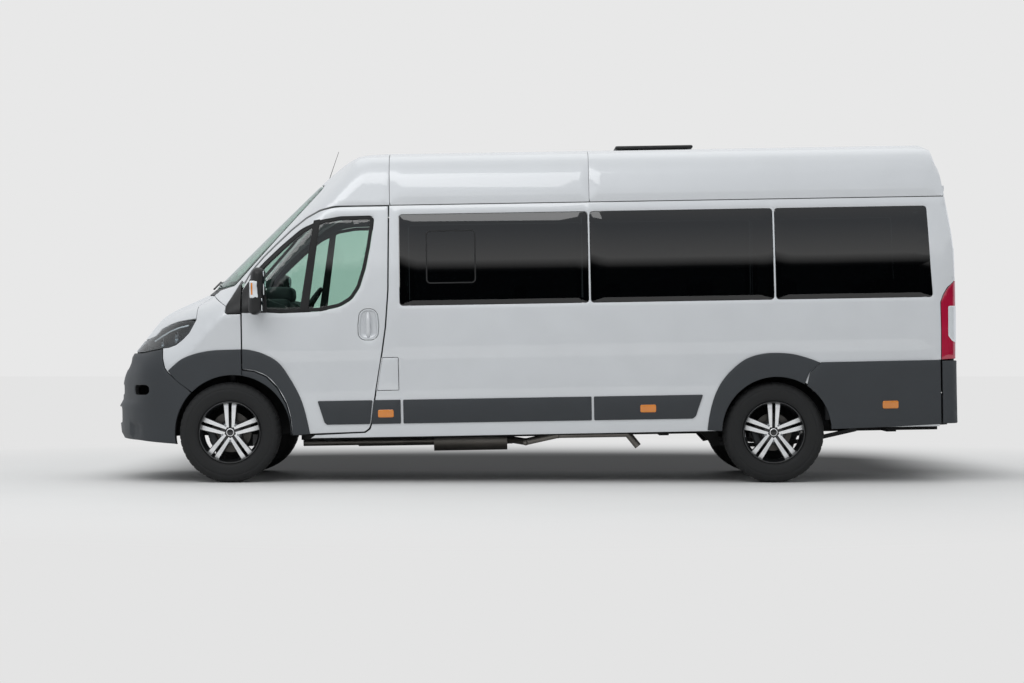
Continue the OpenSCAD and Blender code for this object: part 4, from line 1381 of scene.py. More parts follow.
class FrontEnd(SubAssembly):
    """Wings, bonnet, bumper, grille and headlamps."""

    def wing_outline(self) -> Points:
        """Outline of the left wing in the wrap chart.

        Returns:
            The closed outline.
        """
        x, z, r = ARCH
        low = wrap(arc(x, z, r + 8, 131, math.degrees(math.acos((104 - x) / (r + 8))), 40))
        up = wing_side([(104, 806), (104, 1248)])
        sail = wing_side([(104, 1248), (4, 1248), (-13, 1262), (-8, 1308)])
        top = wing_side(SEAM[::-1] + [(-228, 1318), (-236, 1212)])
        lamp = wing_side([(-236, 1212)] + LAMP_TO_WING[1:] + WING_TO_BUMPER)
        return resampled(np.array(low + up[1:] + sail[1:] + top[1:] + lamp[1:]), 14)

    def bonnet_outline(self) -> Points:
        """Outline of the bonnet in the plan view.

        Returns:
            The closed outline.
        """
        edge = SIDE.lift(line([(-121, 1392), (-228, 1318)] + [(-236, 1212)] + LAMP_TOP[1:], 14))
        tip = WRAP.lift(np.stack([np.linspace(WRAP.locate(edge[-1:])[0, 0], WRAP.middle, 50),
                np.linspace(1070, 1058, 50)], -1))
        rear = FRONT.lift(np.stack([np.linspace(0, edge[0, 1], 50), np.linspace(1412, 1392, 50)], -1))
        rear[:, 0] -= np.cos(rear[:, 1] / 430) * 6
        left = np.concatenate([rear, edge, tip])[:, :2]
        right = left[::-1] * [1, -1]
        return resampled(np.concatenate([left, right]), 15)

    def bumper_outline(self) -> Points:
        """Outline of the bumper in the wrap chart, both sides.

        Returns:
            The closed outline.
        """
        x, z, r = ARCH
        top = wing_side([(-735, 972), (-660, 972), (-497, 1000)])
        seam = wing_side([(-497, 1000)] + WING_TO_BUMPER + [(-284, 684)])
        wheel = wrap(arc(x, z, r, 135, 190.5, 30))
        low = wing_side([(-391, 290), (-560, 304), (-700, 318)])
        u = low[-1][0]
        under = [(v, 318 + 16 * (1 - (v - WRAP.middle) / (u - WRAP.middle)))
                for v in np.linspace(u, WRAP.middle, 30)[1:]]
        lead = [(v, 972) for v in np.linspace(WRAP.middle, top[0][0], 30)[:-1]]
        left = np.array(lead + top + seam[1:] + wheel + low[1:] + under)
        right = left[::-1].copy()
        right[:, 0] = 2 * WRAP.middle - right[:, 0]
        return resampled(np.concatenate([left, right]), 16)

    @staticmethod
    def front_box(y0: float, y1: float, z0: float, z1: float, r: float) -> Points:
        """Rounded box in the front view."""
        return resampled(rounded([(y0, z0), (y1, z0), (y1, z1), (y0, z1)], r, 16), 14)

    @staticmethod
    def swell(p: Points) -> Points:
        """Shape of the bumper: a lower lip, a shoulder and the fog-lamp recess.

        Args:
            p: points of the surface.
        Returns:
            Rise at each point, in millimetres.
        """
        x, y, z = p[..., 0], np.abs(p[..., 1]), p[..., 2]
        ramp = lambda t: np.clip(t, 0, 1) ** 2 * (3 - 2 * np.clip(t, 0, 1))
        nose = ramp((-620 - x) / 200)
        high = ramp((z - 590) / 20)
        shoulder = high * ramp((955 - z) / 80) * 30
        chin = (1 - high) * (7 + 48 * ramp((375 - z) / 115))
        fog = 17 * ramp((58 - np.abs(y - 745)) / 9) * ramp((50 - np.abs(z - 405)) / 9)
        return 3 - nose * (shoulder + chin) - fog

    def build(self) -> None:
        """Makes the pieces of the front."""
        wing = Panel(WRAP, self.wing_outline(), [], thick=20, spacing=30, gap=1.8).build()
        left, right = wing, wing.mirrored()
        self.piece("front_wing_panels", join([left, right]), (PAINT, INNER), nodes=("front_wings",),
                slot="paint")
        bonnet = Panel(TOP, self.bonnet_outline(), [], thick=20, spacing=32, gap=2.4).build()
        self.piece("bonnet_panel", bonnet, (PAINT, INNER), "bonnet", ("bonnet",), "paint")
        u = lambda q: WRAP.locate(FRONT.lift(q))
        intake = u(self.front_box(-430, 430, 440, 560, 40))
        upper = u(self.front_box(-400, 400, 660, 730, 30))
        slots = [u(self.front_box(-872, -742, 662, 730, 26))]
        slots.append(np.stack([2 * WRAP.middle - slots[0][:, 0], slots[0][:, 1]], -1))
        bumper = Panel(WRAP, self.bumper_outline(), [intake, upper] + slots, thick=34, spacing=30,
                relief=self.swell, edge=5, back_slot=1).build()
        self.piece("front_bumper_moulding", bumper, (CLADDING, BLACK), nodes=("front_bumper",),
                slot="cladding")
        bars = []
        for z in (458, 488, 518, 546):
            bars.append(self.bar(z, 424, 40))
        for z in (680, 712):
            bars.append(self.bar(z, 396, 58))
        back = Panel(FRONT, self.front_box(-700, 700, 430, 780, 30), [], thick=6, spacing=60,
                proud=-62).build()
        self.piece("front_grille_bars", join(bars + [back]), (BLACK, BLACK))
        g = np.concatenate([WRAP.lift(np.stack([np.linspace(WRAP.middle - 560, WRAP.middle + 560, 80),
                np.full(80, 974.0)], -1)), WRAP.lift(np.stack([np.linspace(WRAP.middle + 560,
                WRAP.middle - 560, 80), np.full(80, 1052.0)], -1))])
        grille = Panel(WRAP, resampled(across_nose(g), 15), [], thick=20, spacing=30, proud=-12).build()
        self.piece("grille_panel", grille, (BLACK, BLACK), nodes=("grille",), slot="trim")
        self.lamps()

    @staticmethod
    def bar(z: float, half: float, back: float) -> MeshData:
        """Horizontal bar across an opening of the bumper, following the nose.

        Args:
            z: height of the bar.
            half: half its width.
            back: how far it lies behind the nose.
        Returns:
            The bar, in metres.
        """
        p = FRONT.lift(np.stack([np.linspace(-half, half, 60), np.full(60, z)], -1))
        p[:, 0] += back
        return tube(to_row(p), 7 * MM, 10)

    def lamps(self) -> None:
        """Makes the headlamps: a black bowl, two lenses with reflectors and a clear cover."""
        top = wing_side([(-236, 1206)] + LAMP_TOP[1:] + [(-735, 1056)])
        low = wing_side([(-735, 976), (-660, 976), (-494, 1004)] + LAMP_TO_WING[::-1][1:])
        outline = resampled(np.array(top + low), 12)
        cover = Panel(WRAP, outline, [], thick=3, spacing=26, gap=2.0, edge=2.5).build()
        self.both("{side}_headlamp_lens", cover, (LENS, LENS), nodes=("headlamps",), sharp=50)
        bowl = Pressing(WRAP, outline, [(4, -3), (8, -12), (16, -46), (40, -74)], 26).build()
        bezel = Panel(WRAP, outline, [inset(outline, 13)], thick=6, spacing=20, proud=-4, gap=2,
                edge=1).build()
        bezel.slots = [0] * len(bezel.faces)
        self.both("{side}_headlamp_bowl", join([bowl, bezel]), (BLACK,), slot="lamp_clear")
        reflect, glass = [], []
        for x, z, r in ((-400, 1098, 50), (-520, 1062, 44), (-640, 1020, 26)):
            c = SIDE.lift(np.array([(x, z)]))
            n = SHAPE.normal(c)[0]
            d = Vector((-0.93, -0.36, 0.02)).normalized()
            m = Matrix.Translation(Vector(c[0] - n * 42)) @ d.to_track_quat("Z", "Y").to_matrix().to_4x4()
            prof = [(r, 12), (r - 3, 14), (r - 6, 10), (r * 0.8, -4), (r * 0.5, -18), (6, -26), (0.1, -26)]
            reflect.append(placed(spun(prof, 40), m))
            lens = [(r * 0.62 * math.cos(a), -6 + r * 0.5 * math.sin(a))
                    for a in np.linspace(0, math.pi / 2 - 0.02, 8)]
            glass.append(placed(spun(lens, 32), m))
        ref = join(reflect)
        ref.points = to_row(ref.points)
        gl = join(glass)
        gl.points = to_row(gl.points)
        # the reflectors' chrome is darkened as painted shade
        self.both("{side}_headlamp_reflectors", ref, (SHADED_CHROME,), sharp=60)
        self.both("{side}_headlamp_projectors", gl, (LENS,), sharp=60)
        strip = SIDE.lift(line([(-300, 1176), (-380, 1160), (-450, 1136), (-520, 1100), (-580, 1064)], 10))
        strip -= SHAPE.normal(strip) * 14
        self.both("{side}_headlamp_strip", tube(to_row(strip), 6 * MM, 8), (SMOKE_LENS,), nodes=())


def across_nose(points: Points) -> Points:
    """Wrap-chart points of surface points on both sides of the nose.

    Args:
        points: wrap chart points.
    Returns:
        The points as an array.
    """
    uv = WRAP.locate(points * np.where(points[:, 1:2] > 0, [1, -1, 1], [1, 1, 1]))
    uv[:, 0] = np.where(points[:, 1] > 0, 2 * WRAP.middle - uv[:, 0], uv[:, 0])
    return uv


class Doors(SubAssembly):
    """Front doors with glass and mirrors, and rear doors."""

    def build(self) -> None:
        """Makes every door."""
        outline = resampled(rounded(DOOR, 20, 14), 13)
        pane = resampled(rounded(DOOR_PANE, 30, 14), 13)
        handle = rounded([(974, 1040, 56), (1117, 1040, 66), (1126, 1150, 200), (1112, 1270, 60),
                (986, 1270, 60), (972, 1150, 200)], 60, 9)
        skin = Panel(WRAP, outline, [pane, handle], thick=30, spacing=36, relief=crease).build()
        self.both("{side}_front_door_panel", skin, (PAINT, TRIM), "{side}_front_door",
                ("{side}_front_door",), "paint")
        dish = Pressing(WRAP, handle, [(1.5, 0), (3, 1.2), (7, 1.2), (11, -2), (18, -14), (34, -20)],
                12).build()
        grip_path = SIDE.lift(line([(1046, 1068), (1046, 1244)], 11))
        nrm = SHAPE.normal(grip_path)
        t = np.linspace(-1, 1, len(grip_path))
        grip_path = grip_path + nrm * (5 - 22 * np.abs(t[:, None]) ** 5)
        radius = 17 * (1 - 0.35 * np.abs(t) ** 3)
        grip = tube(to_row(grip_path), radius * MM, 16)
        self.both("{side}_front_door_handle", join([dish, grip]), (PAINT,), "{side}_front_door", slot="paint")
        seal = resampled(inset(pane, 1), 13)
        frame_ring = Panel(WRAP, seal, [inset(seal, 27)], thick=14, spacing=30, proud=-3, gap=0.5,
                edge=2).build()
        self.both("{side}_front_door_window_frame", frame_ring, (SEAL, SEAL), "{side}_front_door", sharp=45)
        bar = rounded([(540, 1262), (604, 1262), (702, 1944), (650, 1936)], 4, 14)
        bar_panel = Panel(WRAP, bar, [], thick=12, spacing=30, proud=1.5, gap=0.5, edge=2).build()
        self.both("{side}_front_door_window_bar", bar_panel, (SEAL, SEAL), "{side}_front_door")
        glass = Panel(WRAP, inset(seal, 14), [], thick=4, spacing=50, proud=-5, gap=0.5, edge=0.5).build()
        self.both("{side}_front_door_pane", glass, (CAB_GLASS, CAB_GLASS), "{side}_front_door",
                ("{side}_front_door_glass",), "clear_glass")
        self.sails()
        self.mirrors()
        self.rear()

    def sails(self) -> None:
        """Makes the black sail panels in front of the doors' windows."""
        sail = rounded([(-10, 1252, 14), (103, 1252, 3), (103, 1492, 8), (60, 1420, 60), (-8, 1306, 26)], 8,
                12)
        fixed = Panel(WRAP, sail, [], thick=14, spacing=24, proud=1.5, gap=0.8, edge=2).build()
        self.both("{side}_sail_panel", fixed, (BLACK, BLACK))
        foot = rounded([(112, 1254, 3), (300, 1252, 10), (296, 1400, 60), (232, 1560, 30), (150, 1478, 30),
                (112, 1420, 20)], 10, 12)
        plate = Panel(WRAP, foot, [], thick=14, spacing=24, proud=4, gap=0.8, edge=3).build()
        self.both("{side}_mirror_foot", plate, (BLACK, BLACK), "{side}_front_door")

    def mirrors(self) -> None:
        """Makes the door mirrors: two-glass housings on arms, with a side repeater."""
        faces = soft_block((104, 178, 340), (240, -1160, 1412), 46, 5, bulge=4)
        p = faces.points
        t = (p[:, 2] - 1242) / 340
        p[:, 0] += 34 * (t - 0.5)
        front = np.clip((240 - p[:, 0]) / 52, 0, 1)
        p[:, 0] += front * 30 * np.abs((p[:, 1] + 1160) / 89) ** 2 * 0.6
        housing = MeshData(to_row(p), faces.faces, faces.slots)
        arms = []
        for z, y0 in ((1290, -1000), (1496, -965)):
            a = soft_block((64, 190, 34), (222, -1070 + (y0 + 1000) * 0.5, z), 14, 3)
            arms.append(MeshData(to_row(a.points), a.faces, a.slots))
        self.both("{side}_mirror_housing", join([housing] + arms), (BLACK,), "{side}_front_door",
                ("{side}_mirror",), "trim")
        glass = []
        for z, h in ((1470, 176), (1312, 92)):
            g = soft_block((8, 146, h), (292 + (z - 1412) * 0.1, -1160, z), 3.5, 2)
            glass.append(MeshData(to_row(g.points), g.faces, g.slots))
        self.both("{side}_mirror_glass", join(glass), (MIRROR,), "{side}_front_door")
        lamp = soft_block((62, 20, 128), (226, -1243, 1424), 9, 3)
        red = soft_block((16, 22, 92), (212, -1243, 1428), 4, 2)
        m = join([MeshData(to_row(lamp.points), lamp.faces, [0] * len(lamp.faces)),
                MeshData(to_row(red.points), red.faces, [1] * len(red.faces))])
        self.both("{side}_mirror_repeater", m, (SMOKE_LENS, AMBER_LENS), "{side}_front_door")

    def rear(self) -> None:
        """Makes the rear doors with panes, black borders and recessed plates."""
        outline = resampled(rounded([(-880, 569, 30), (-4, 569, 6), (-4, 2250, 6), (-792, 2250, 90),
                (-872, 2080, 300), (-880, 1800, 300)], 10, 16), 16)
        pane = resampled(rounded([(-800, 1310), (-60, 1310), (-60, 1990), (-738, 1990), (-800, 1560, 300)],
                46, 16), 16)
        plate = resampled(rounded([(-560, 872), (-90, 872), (-90, 1010), (-560, 1010)], 26, 14), 14)
        skin = Panel(TAIL, outline, [pane, plate], thick=34, spacing=40).build()
        self.both("{side}_rear_door_panel", skin, (PAINT, TRIM), "{side}_rear_door", ("{side}_rear_door",),
                "paint")
        tray = Pressing(TAIL, plate, [(1.5, 0), (4, 0), (10, -9), (24, -10)], 30).build()
        self.both("{side}_rear_door_recess", tray, (PAINT,), "{side}_rear_door", slot="paint")
        glass = Panel(TAIL, pane, [], thick=4, spacing=60, gap=1.5, edge=1).build()
        self.both("{side}_rear_door_pane", glass, (DARK_GLASS, DARK_GLASS), "{side}_rear_door",
                ("{side}_rear_door_glass",), "dark_glass")
        ring = Panel(TAIL, pane, [inset(pane, 44)], thick=3, spacing=30, proud=-5, gap=1.5, edge=0.5).build()
        self.both("{side}_rear_door_frit", ring, (FRIT, FRIT), "{side}_rear_door")


class Windows(SubAssembly):
    """Windscreen, side panes with their black borders and the sliding lights."""

    def build(self) -> None:
        """Makes the panes."""
        for i, p in enumerate(PANES):
            outline = resampled(rounded([(a, b, 24) for a, b in wrap(p)], 24, 24), 18)
            glass = Panel(WRAP, outline, [], thick=4, spacing=90, gap=1.5, edge=1).build()
            ring = Panel(WRAP, outline, [inset(outline, 42)], thick=3, spacing=40, proud=-5, gap=1.5,
                    edge=0.5).build()
            nodes = ("side_windows",)
            self.both("{side}_side_pane_" + str(i + 1), glass, (DARK_GLASS, DARK_GLASS), nodes=nodes,
                    slot="dark_glass")
            self.both("{side}_side_pane_frit_" + str(i + 1), ring, (FRIT, FRIT))
        light = rounded([(1480, 1448), (1851, 1448), (1851, 1846), (1480, 1846)], 34, 12)
        rail = Panel(WRAP, light, [inset(light, 11)], thick=6, spacing=30, proud=2, gap=0.5, edge=1.5).build()
        self.both("{side}_sliding_light_frame", rail, (SEAL, SEAL))
        pane = SCREEN.locate(FRONT.lift(line([(0, 2226), (-560, 2206), (-640, 2200), (-676, 2160),
                (-694, 2096), (-800, 1570), (-822, 1470), (-600, 1452), (0, 1444)], 20)))
        loop = resampled(np.concatenate([pane, np.stack([pane[::-1, 0], -pane[::-1, 1]], -1)[1:-1]]), 20)
        screen = Panel(SCREEN, loop, [], thick=5, spacing=80, gap=1.5, edge=1).build()
        self.piece("windscreen_pane", screen, (CAB_GLASS, CAB_GLASS), nodes=("windscreen",),
                slot="clear_glass")
        ring = Panel(SCREEN, loop, [inset(loop, 44)], thick=3, spacing=30, proud=-6, gap=1.5,
                edge=0.5).build()
        self.piece("windscreen_frit", ring, (FRIT, FRIT))
        cowl = SCREEN.locate(np.concatenate([FRONT.lift(line([(0, 1440), (-600, 1448), (-822, 1464),
                (-700, 1440), (-668, 1396)], 20)), FRONT.lift(np.stack([np.linspace(-660, 0, 50),
                np.linspace(1398, 1416, 50)], -1))]))
        loop = resampled(np.concatenate([cowl, np.stack([cowl[::-1, 0], -cowl[::-1, 1]], -1)[1:-1]]), 14)
        panel = Panel(SCREEN, loop, [], thick=10, spacing=26, gap=1.5, proud=-3, edge=2).build()
        self.piece("scuttle_cowl", panel, (BLACK, BLACK))


class Cladding(SubAssembly):
    """Wheel-arch flares, side strips, rear quarter cladding, rear bumper, tail lamps and markers."""

    STEPS = ((-0.5, -2), (0, 6), (1.2, 9), (4, 10))

    def build(self) -> None:
        """Makes the cladding."""
        self.front_arches()
        self.rear_quarters()
        self.strips()
        self.markers()
        self.tail()

    def front_arches(self) -> None:
        """Makes the flares on the wings and doors and the lips under them."""
        x, z, r = ARCH
        low = wrap(arc(x, z, r, 134, math.degrees(math.acos((103 - x) / r)), 40))
        top = wrap(smooth_line([(103, 986), (13, 985), (-124, 980), (-244, 958), (-341, 920), (-406, 872),
                (-447, 835)]))
        top += wing_side([(-447, 835), (-384, 764), (-302, 702)])[1:]
        flare = Pressing(WRAP, resampled(np.array(low + top), 12), self.STEPS, 30).build()
        door = smooth_line([(111, 987), (170, 980), (267, 951), (378, 884), (470, 753), (544, 604),
                (584, 456), (604, 352)]).tolist()
        door += smooth_line([(476, 344), (466, 470), (440, 577), (376, 698), (294, 786), (200, 828),
                (111, 840)]).tolist()
        on_door = Pressing(WRAP, resampled(densify(np.array(door, float), 12), 12), self.STEPS, 30).build()
        self.both("{side}_front_flare", flare, (CLADDING,), nodes=("body_cladding",), slot="cladding")
        self.both("{side}_door_flare", on_door, (CLADDING,), "{side}_front_door", slot="cladding")
        lip = [(104, 792)] + arc(x, z, r, 78, -2.5, 40) + [(466, 346), (457, 470), (431, 572), (368, 690),
                (286, 777), (196, 818), (104, 830)]
        fixed = Pressing(WRAP, resampled(densify(np.array(lip, float), 10), 9),
                [(-0.5, -30), (0, -3), (1, -1), (3, 0)], 20).build()
        self.both("{side}_arch_lip", fixed, (CLADDING,), slot="cladding")

    def rear_quarters(self) -> None:
        """Makes the rear flares and the cladding behind them."""
        rear = [(-490, 330), (-474, 436), (-436, 576), (-378, 688), (-291, 785), (-191, 855), (-77, 888),
                (50, 893), (163, 880), (275, 847), (352, 816)]
        c = REAR_ARCH
        inner = arc(c[0], c[1], c[2], 2, 178, 60)
        pts = [(WHEELBASE + a, b) for a, b in rear]
        flare_edge = [tuple(q) for q in smooth_line(pts)]
        ahead = [q for q in inner if q[0] < WHEELBASE + 236]
        part = flare_edge + [(WHEELBASE + 268, 742)] + ahead + [(c[0] - c[2], 322)]
        arch_part = Pressing(WRAP, resampled(densify(np.array(part, float), 12), 12), self.STEPS, 30).build()
        quarter = [(WHEELBASE + 358, 819), (WHEELBASE + 1240, 822), (WHEELBASE + 1240, 348),
                (WHEELBASE + 900, 334), (c[0] + c[2], 324)]
        quarter += [q for q in inner if q[0] > WHEELBASE + 242] + [(WHEELBASE + 274, 742)]
        back = Pressing(WRAP, resampled(densify(np.array(wrap(densify(np.array(quarter, float), 12))), 12),
                12), self.STEPS, 50).build()
        self.both("{side}_rear_arch_flare", arch_part, (CLADDING,), slot="cladding")
        self.both("{side}_rear_quarter_cladding", back, (CLADDING,), slot="cladding")

    def strips(self) -> None:
        """Makes the strips along the sills."""
        strips = [([(664, 594), (1070, 594), (1050, 418), (730, 418), (712, 436)], "{side}_front_door"),
                ([(1080, 594), (1278, 594), (1278, 418), (1060, 418)], "bodywork"),
                ([(1297, 594), (2690, 594), (2690, 418), (1297, 418)], "bodywork"),
                ([(2708, 594), (3516, 594), (3460, 436), (3436, 418), (2708, 418)], "bodywork")]
        for i, (pts, body) in enumerate(strips):
            mesh = Pressing(WRAP, resampled(rounded(pts, 7, 14), 12), self.STEPS, 60).build()
            self.both("{side}_side_strip_" + str(i + 1), mesh, (CLADDING,), body, slot="cladding")

    def markers(self) -> None:
        """Makes the amber side markers."""
        for i, (x0, z0) in enumerate(((1111, 467), (3051, 472), (4843, 471))):
            box = rounded([(x0, z0), (x0 + 114, z0), (x0 + 114, z0 + 54), (x0, z0 + 54)], 9, 8)
            lens = Pressing(WRAP, box, [(-2, 8), (-1, 13), (2, 14.5), (8, 15)], 20).build()
            self.both("{side}_side_marker_" + str(i + 1), lens, (AMBER_LENS,), slot="lamp_clear")

    def tail(self) -> None:
        """Makes the tail lamps and the rear bumper."""
        lamp = wrap(LAMP_LINE) + across(TAIL, WRAP, line([(CORNER_Y, 1412), (CORNER_Y, 826)], 12)).tolist()
        low = [(REAR_END - 60, 826)]
        outline = resampled(np.array(lamp + wrap(low)), 12)
        body = Panel(WRAP, outline, [], thick=40, spacing=26, proud=1, gap=2, edge=4).build()
        u0 = WRAP.from_side(np.array([(REAR_END - 76.0, 1000.0)]))[0, 0]
        u1 = across(TAIL, WRAP, [(CORNER_Y - 8, 1000)])[0, 0]
        clear = rounded([(u0 + 26, 960, 20), (u1, 930, 6), (u1, 1219, 6), (u0 + 4, 1219, 10),
                (u0, 1000, 30)], 8, 10)
        window = Pressing(WRAP, clear, [(-1, 1.2), (0, 2), (2, 2.6), (6, 3)], 20).build()
        self.both("{side}_tail_lamp_lens", body, (RED_LENS, BLACK), nodes=("tail_lamps",), slot="lamp_red")
        self.both("{side}_tail_lamp_clear_window", window, (SMOKE_LENS,), slot="lamp_clear")
        side = wrap(line([(REAR_END - 130, 350), (REAR_END - 130, 817)], 14))
        top = across(TAIL, WRAP, line([(-905, 817), (CORNER_Y, 817), (CORNER_Y, 562)], 14)).tolist()
        mid = across(TAIL, WRAP, line([(CORNER_Y, 562), (0, 562)], 18)).tolist()
        low = across(TAIL, WRAP, line([(0, 352), (-905, 352)], 18)).tolist()
        left = np.array(side + wrap([(REAR_END - 60, 817)]) + top + mid[1:])
        lower = np.array(low + wrap([(REAR_END - 60, 350)]))
        right = lambda q: np.stack([2 * WRAP.tail_middle - q[::-1, 0], q[::-1, 1]], -1)
        loop = np.concatenate([left, right(left), right(lower), lower])
        bumper = Panel(TailWrapChart(), resampled(loop, 15), [], thick=40, spacing=40, proud=8, gap=1.5,
                edge=6).build()
        self.piece("rear_bumper_moulding", bumper, (CLADDING, BLACK), nodes=("rear_bumper",), slot="cladding")


class TailWrapChart(WrapChart):
    """The wrap chart carried on past the tail's middle to the right side."""

    def ray(self, uv: Points) -> tuple:
        """Rays of the left half, mirrored beyond the middle.

        Args:
            uv: points of the map.
        Returns:
            Start and end of each ray.
        """
        far = uv[:, 0] > self.tail_middle
        q = uv.copy()
        q[:, 0] = np.where(far, 2 * self.tail_middle - q[:, 0], q[:, 0])
        a, b = super().ray(q)
        a[far, 1] *= -1
        b[far, 1] *= -1
        return a, b


# ---------------------------------------------------------------- wheels


@dataclass(frozen=True)
class WheelSizes:
    """Sizes of a wheel in millimetres, about its own axis with the outer face upwards."""

    radius: float = 372.0
    half: float = 112.5
    seat: float = 224.0
    face: float = 70.0
    pairs: int = 5


class Wheels(SubAssembly):
    """Tyres with tread and plain walls, rims with twin spokes, and brakes."""

    size = WheelSizes()

    def tyre(self) -> MeshData:
        """Makes a tyre: profile with shoulder ribs, then grooves between the tread blocks.

        Returns:
            Mesh data about the wheel's own axis.
        """
        r, w, seat = self.size.radius, self.size.half, self.size.seat
        half = [(seat + 6, w - 30), (seat + 9, w - 20), (seat + 16, w - 12), (seat + 19, w - 11.5),
                (seat + 22, w - 9), (seat + 36, w - 4), (seat + 58, w - 1), (seat + 80, w), (seat + 84, w),
                (seat + 88, w - 1.4), (r - 52, w - 3.4), (r - 49, w - 2.4), (r - 34, w - 5),
                (r - 31, w - 7), (r - 22, w - 10), (r - 12, w - 18), (r - 5, w - 29), (r - 2, w - 40)]
        rows = [(0.0, 9.0), (9.0, 14.0), (14.0, 41.0), (41.0, 47.0), (47.0, w - 40)]
        tread = []
        for i, (a, b) in enumerate(rows):
            deep = i in (1, 3)
            height = r - 8 if deep else r - 0.3
            tread.append([(height, a), (height, b)])
        top: list = []
        for seg in reversed(tread):
            top += [seg[1], seg[0]]
        upper = half + top
        lower = [(x, -y) for x, y in reversed(upper)]
        inner = [(seat + 16, -w + 50), (seat + 16, w - 50), (seat + 6, w - 40)]
        profile = upper + lower[1:] + inner + [half[0]]
        n = 210
        mesh = spun(profile, n)
        pts = mesh.points
        rad = np.hypot(pts[:, 0], pts[:, 1])
        ang = np.arctan2(pts[:, 1], pts[:, 0])
        step = np.round(ang / (2 * math.pi / n)).astype(int) % n
        phase = (step + np.round(np.abs(pts[:, 2]) / 16).astype(int)) % 5
        shoulder = (rad > r - 30) & (np.abs(pts[:, 2]) > 44) & (phase == 0)
        block = (rad > r - 1) & (np.abs(pts[:, 2]) < 44) & (np.abs(pts[:, 2]) > 12) & ((step + 2) % 6 == 0)
        cut = np.where(shoulder, 6.0, np.where(block, 5.0, 0.0))
        pts[:, :2] *= ((rad - cut) / rad)[:, None]
        return MeshData(pts, mesh.faces, mesh.slots)

    def rim(self) -> MeshData:
        """Makes a rim: barrel, five twin spokes with turned faces, nuts and a bare centre cap.

        Returns:
            Mesh data; slot 0 turned face, 1 black lacquer, 2 nuts.
        """
        w, seat, face = self.size.half, self.size.seat, self.size.face
        barrel = [(seat + 5, w - 21), (seat + 4.5, w - 18), (seat + 1, w - 17), (seat - 2, w - 19),
                (seat - 5, w - 24), (seat - 9, w - 42), (seat - 14, w - 60), (seat - 24, w - 120),
                (seat - 20, -w + 40), (seat - 8, -w + 26), (seat + 2, -w + 20), (seat + 5, -w + 22),
                (seat + 5, -w + 40), (seat - 4, -w + 60), (seat - 6, w - 50), (seat + 5, w - 30),
                (seat + 5, w - 21)]
        slots = [1] * (len(barrel) - 1)
        parts = [spun(barrel, 120, slots)]
        hub = [(0.1, face - 17), (26, face - 17), (29, face - 19), (31, face - 26), (38, face - 27),
                (60, face - 25), (86, face - 28), (92, face - 34), (94, face - 58), (70, face - 64),
                (0.1, face - 64)]
        parts.append(spun(hub, 72, [1] * 10))
        cap = [(0.1, face - 9.5), (16, face - 10), (24, face - 11.5), (28.5, face - 14), (29.5, face - 19),
                (29, face - 24)]
        parts.append(spun(cap, 48, [1, 1, 0, 0, 1]))
        for k in range(self.size.pairs):
            a = 2 * math.pi * k / self.size.pairs + math.pi / 2
            for s in (-1, 1):
                parts.append(placed(self.spoke(s), Matrix.Rotation(a, 4, "Z")))
            nut_at = Matrix.Rotation(a + math.pi / self.size.pairs, 4,
                    "Z") @ Matrix.Translation((62, 0, face - 25))
            nut = [(0.1, 9), (6.5, 9), (9.5, 7.5), (10.5, 5), (10.5, 0), (13.5, 0), (13.5, -2)]
            hexed = spun(nut, 6, [2] * 6)
            parts.append(placed(hexed, nut_at))
            well = [(13.5, 0), (16.5, 1.5), (18, 0.5), (19, -3)]
            parts.append(placed(spun(well, 24, [1] * 3), nut_at))
        valve = tube(np.array([[188, 18, face - 34], [176, 18, face - 20], [168, 18, face - 10]], float),
                [4.5, 4, 4], 10)
        parts.append(MeshData(valve.points, valve.faces, [1] * len(valve.faces)))
        return join(parts)

    def spoke(self, s: int) -> MeshData:
        """One of a pair of spokes, along +x.

        Args:
            s: which of the two, -1 or 1.
        Returns:
            Mesh data with a turned top in slot 0 and lacquered flanks in slot 1.
        """
        seat, face = self.size.seat, self.size.face
        stations = np.linspace(0, 1, 12)
        pts, faces, slots = [], [], []
        for t in stations:
            x = 36 + (seat - 4 - 36) * t
            mid = s * (21 + 9.5 * t)
            half = 12.5 + 7 * t
            top = face - 20 + 16 * math.sin(min(1.0, t * 1.25) * math.pi * 0.5) - 10 * max(0.0, t - 0.8) / 0.2
            deep = top - 34 + 8 * t
            pts += [(x, mid - half - 4, deep), (x, mid - half, top - 3.5), (x, mid - half + 2.2, top),
                    (x, mid + half - 2.2, top), (x, mid + half, top - 3.5), (x, mid + half + 4, deep)]
        m = 6
        for i in range(len(stations) - 1):
            for j in range(m):
                k = (j + 1) % m
                faces.append((i * m + j, (i + 1) * m + j, (i + 1) * m + k, i * m + k)[::-1])
                slots.append(0 if j == 2 else 1)
        faces.append(tuple(range(m))[::-1])
        faces.append(tuple((len(stations) - 1) * m + j for j in range(m)))
        slots += [1, 1]
        return MeshData(np.array(pts, float), faces, slots)

    def brake(self, front: bool) -> MeshData:
        """Brake disc and caliper behind a wheel; slot 0 disc, 1 iron.

        Args:
            front: whether it's a front brake.
        Returns:
            Mesh data about the wheel's own axis.
        """
        r = 150 if front else 140
        disc = [(66, 8), (70, 14), (82, 14), (86, -2), (r, -2), (r, -10), (r - 1, -13), (r, -16), (r, -24),
                (60, -24)]
        parts = [spun([(a, b - 24) for a, b in disc], 72, [0] * 9)]
        body = soft_block((56, 168, 74), (0, 0, 0), 14, 3)
        parts.append(placed(MeshData(body.points, body.faces, [1] * len(body.faces)),
                Matrix.Rotation(0.35, 4, "Z") @ Matrix.Translation((-r + 12, 0, -36))))
        return join(parts)

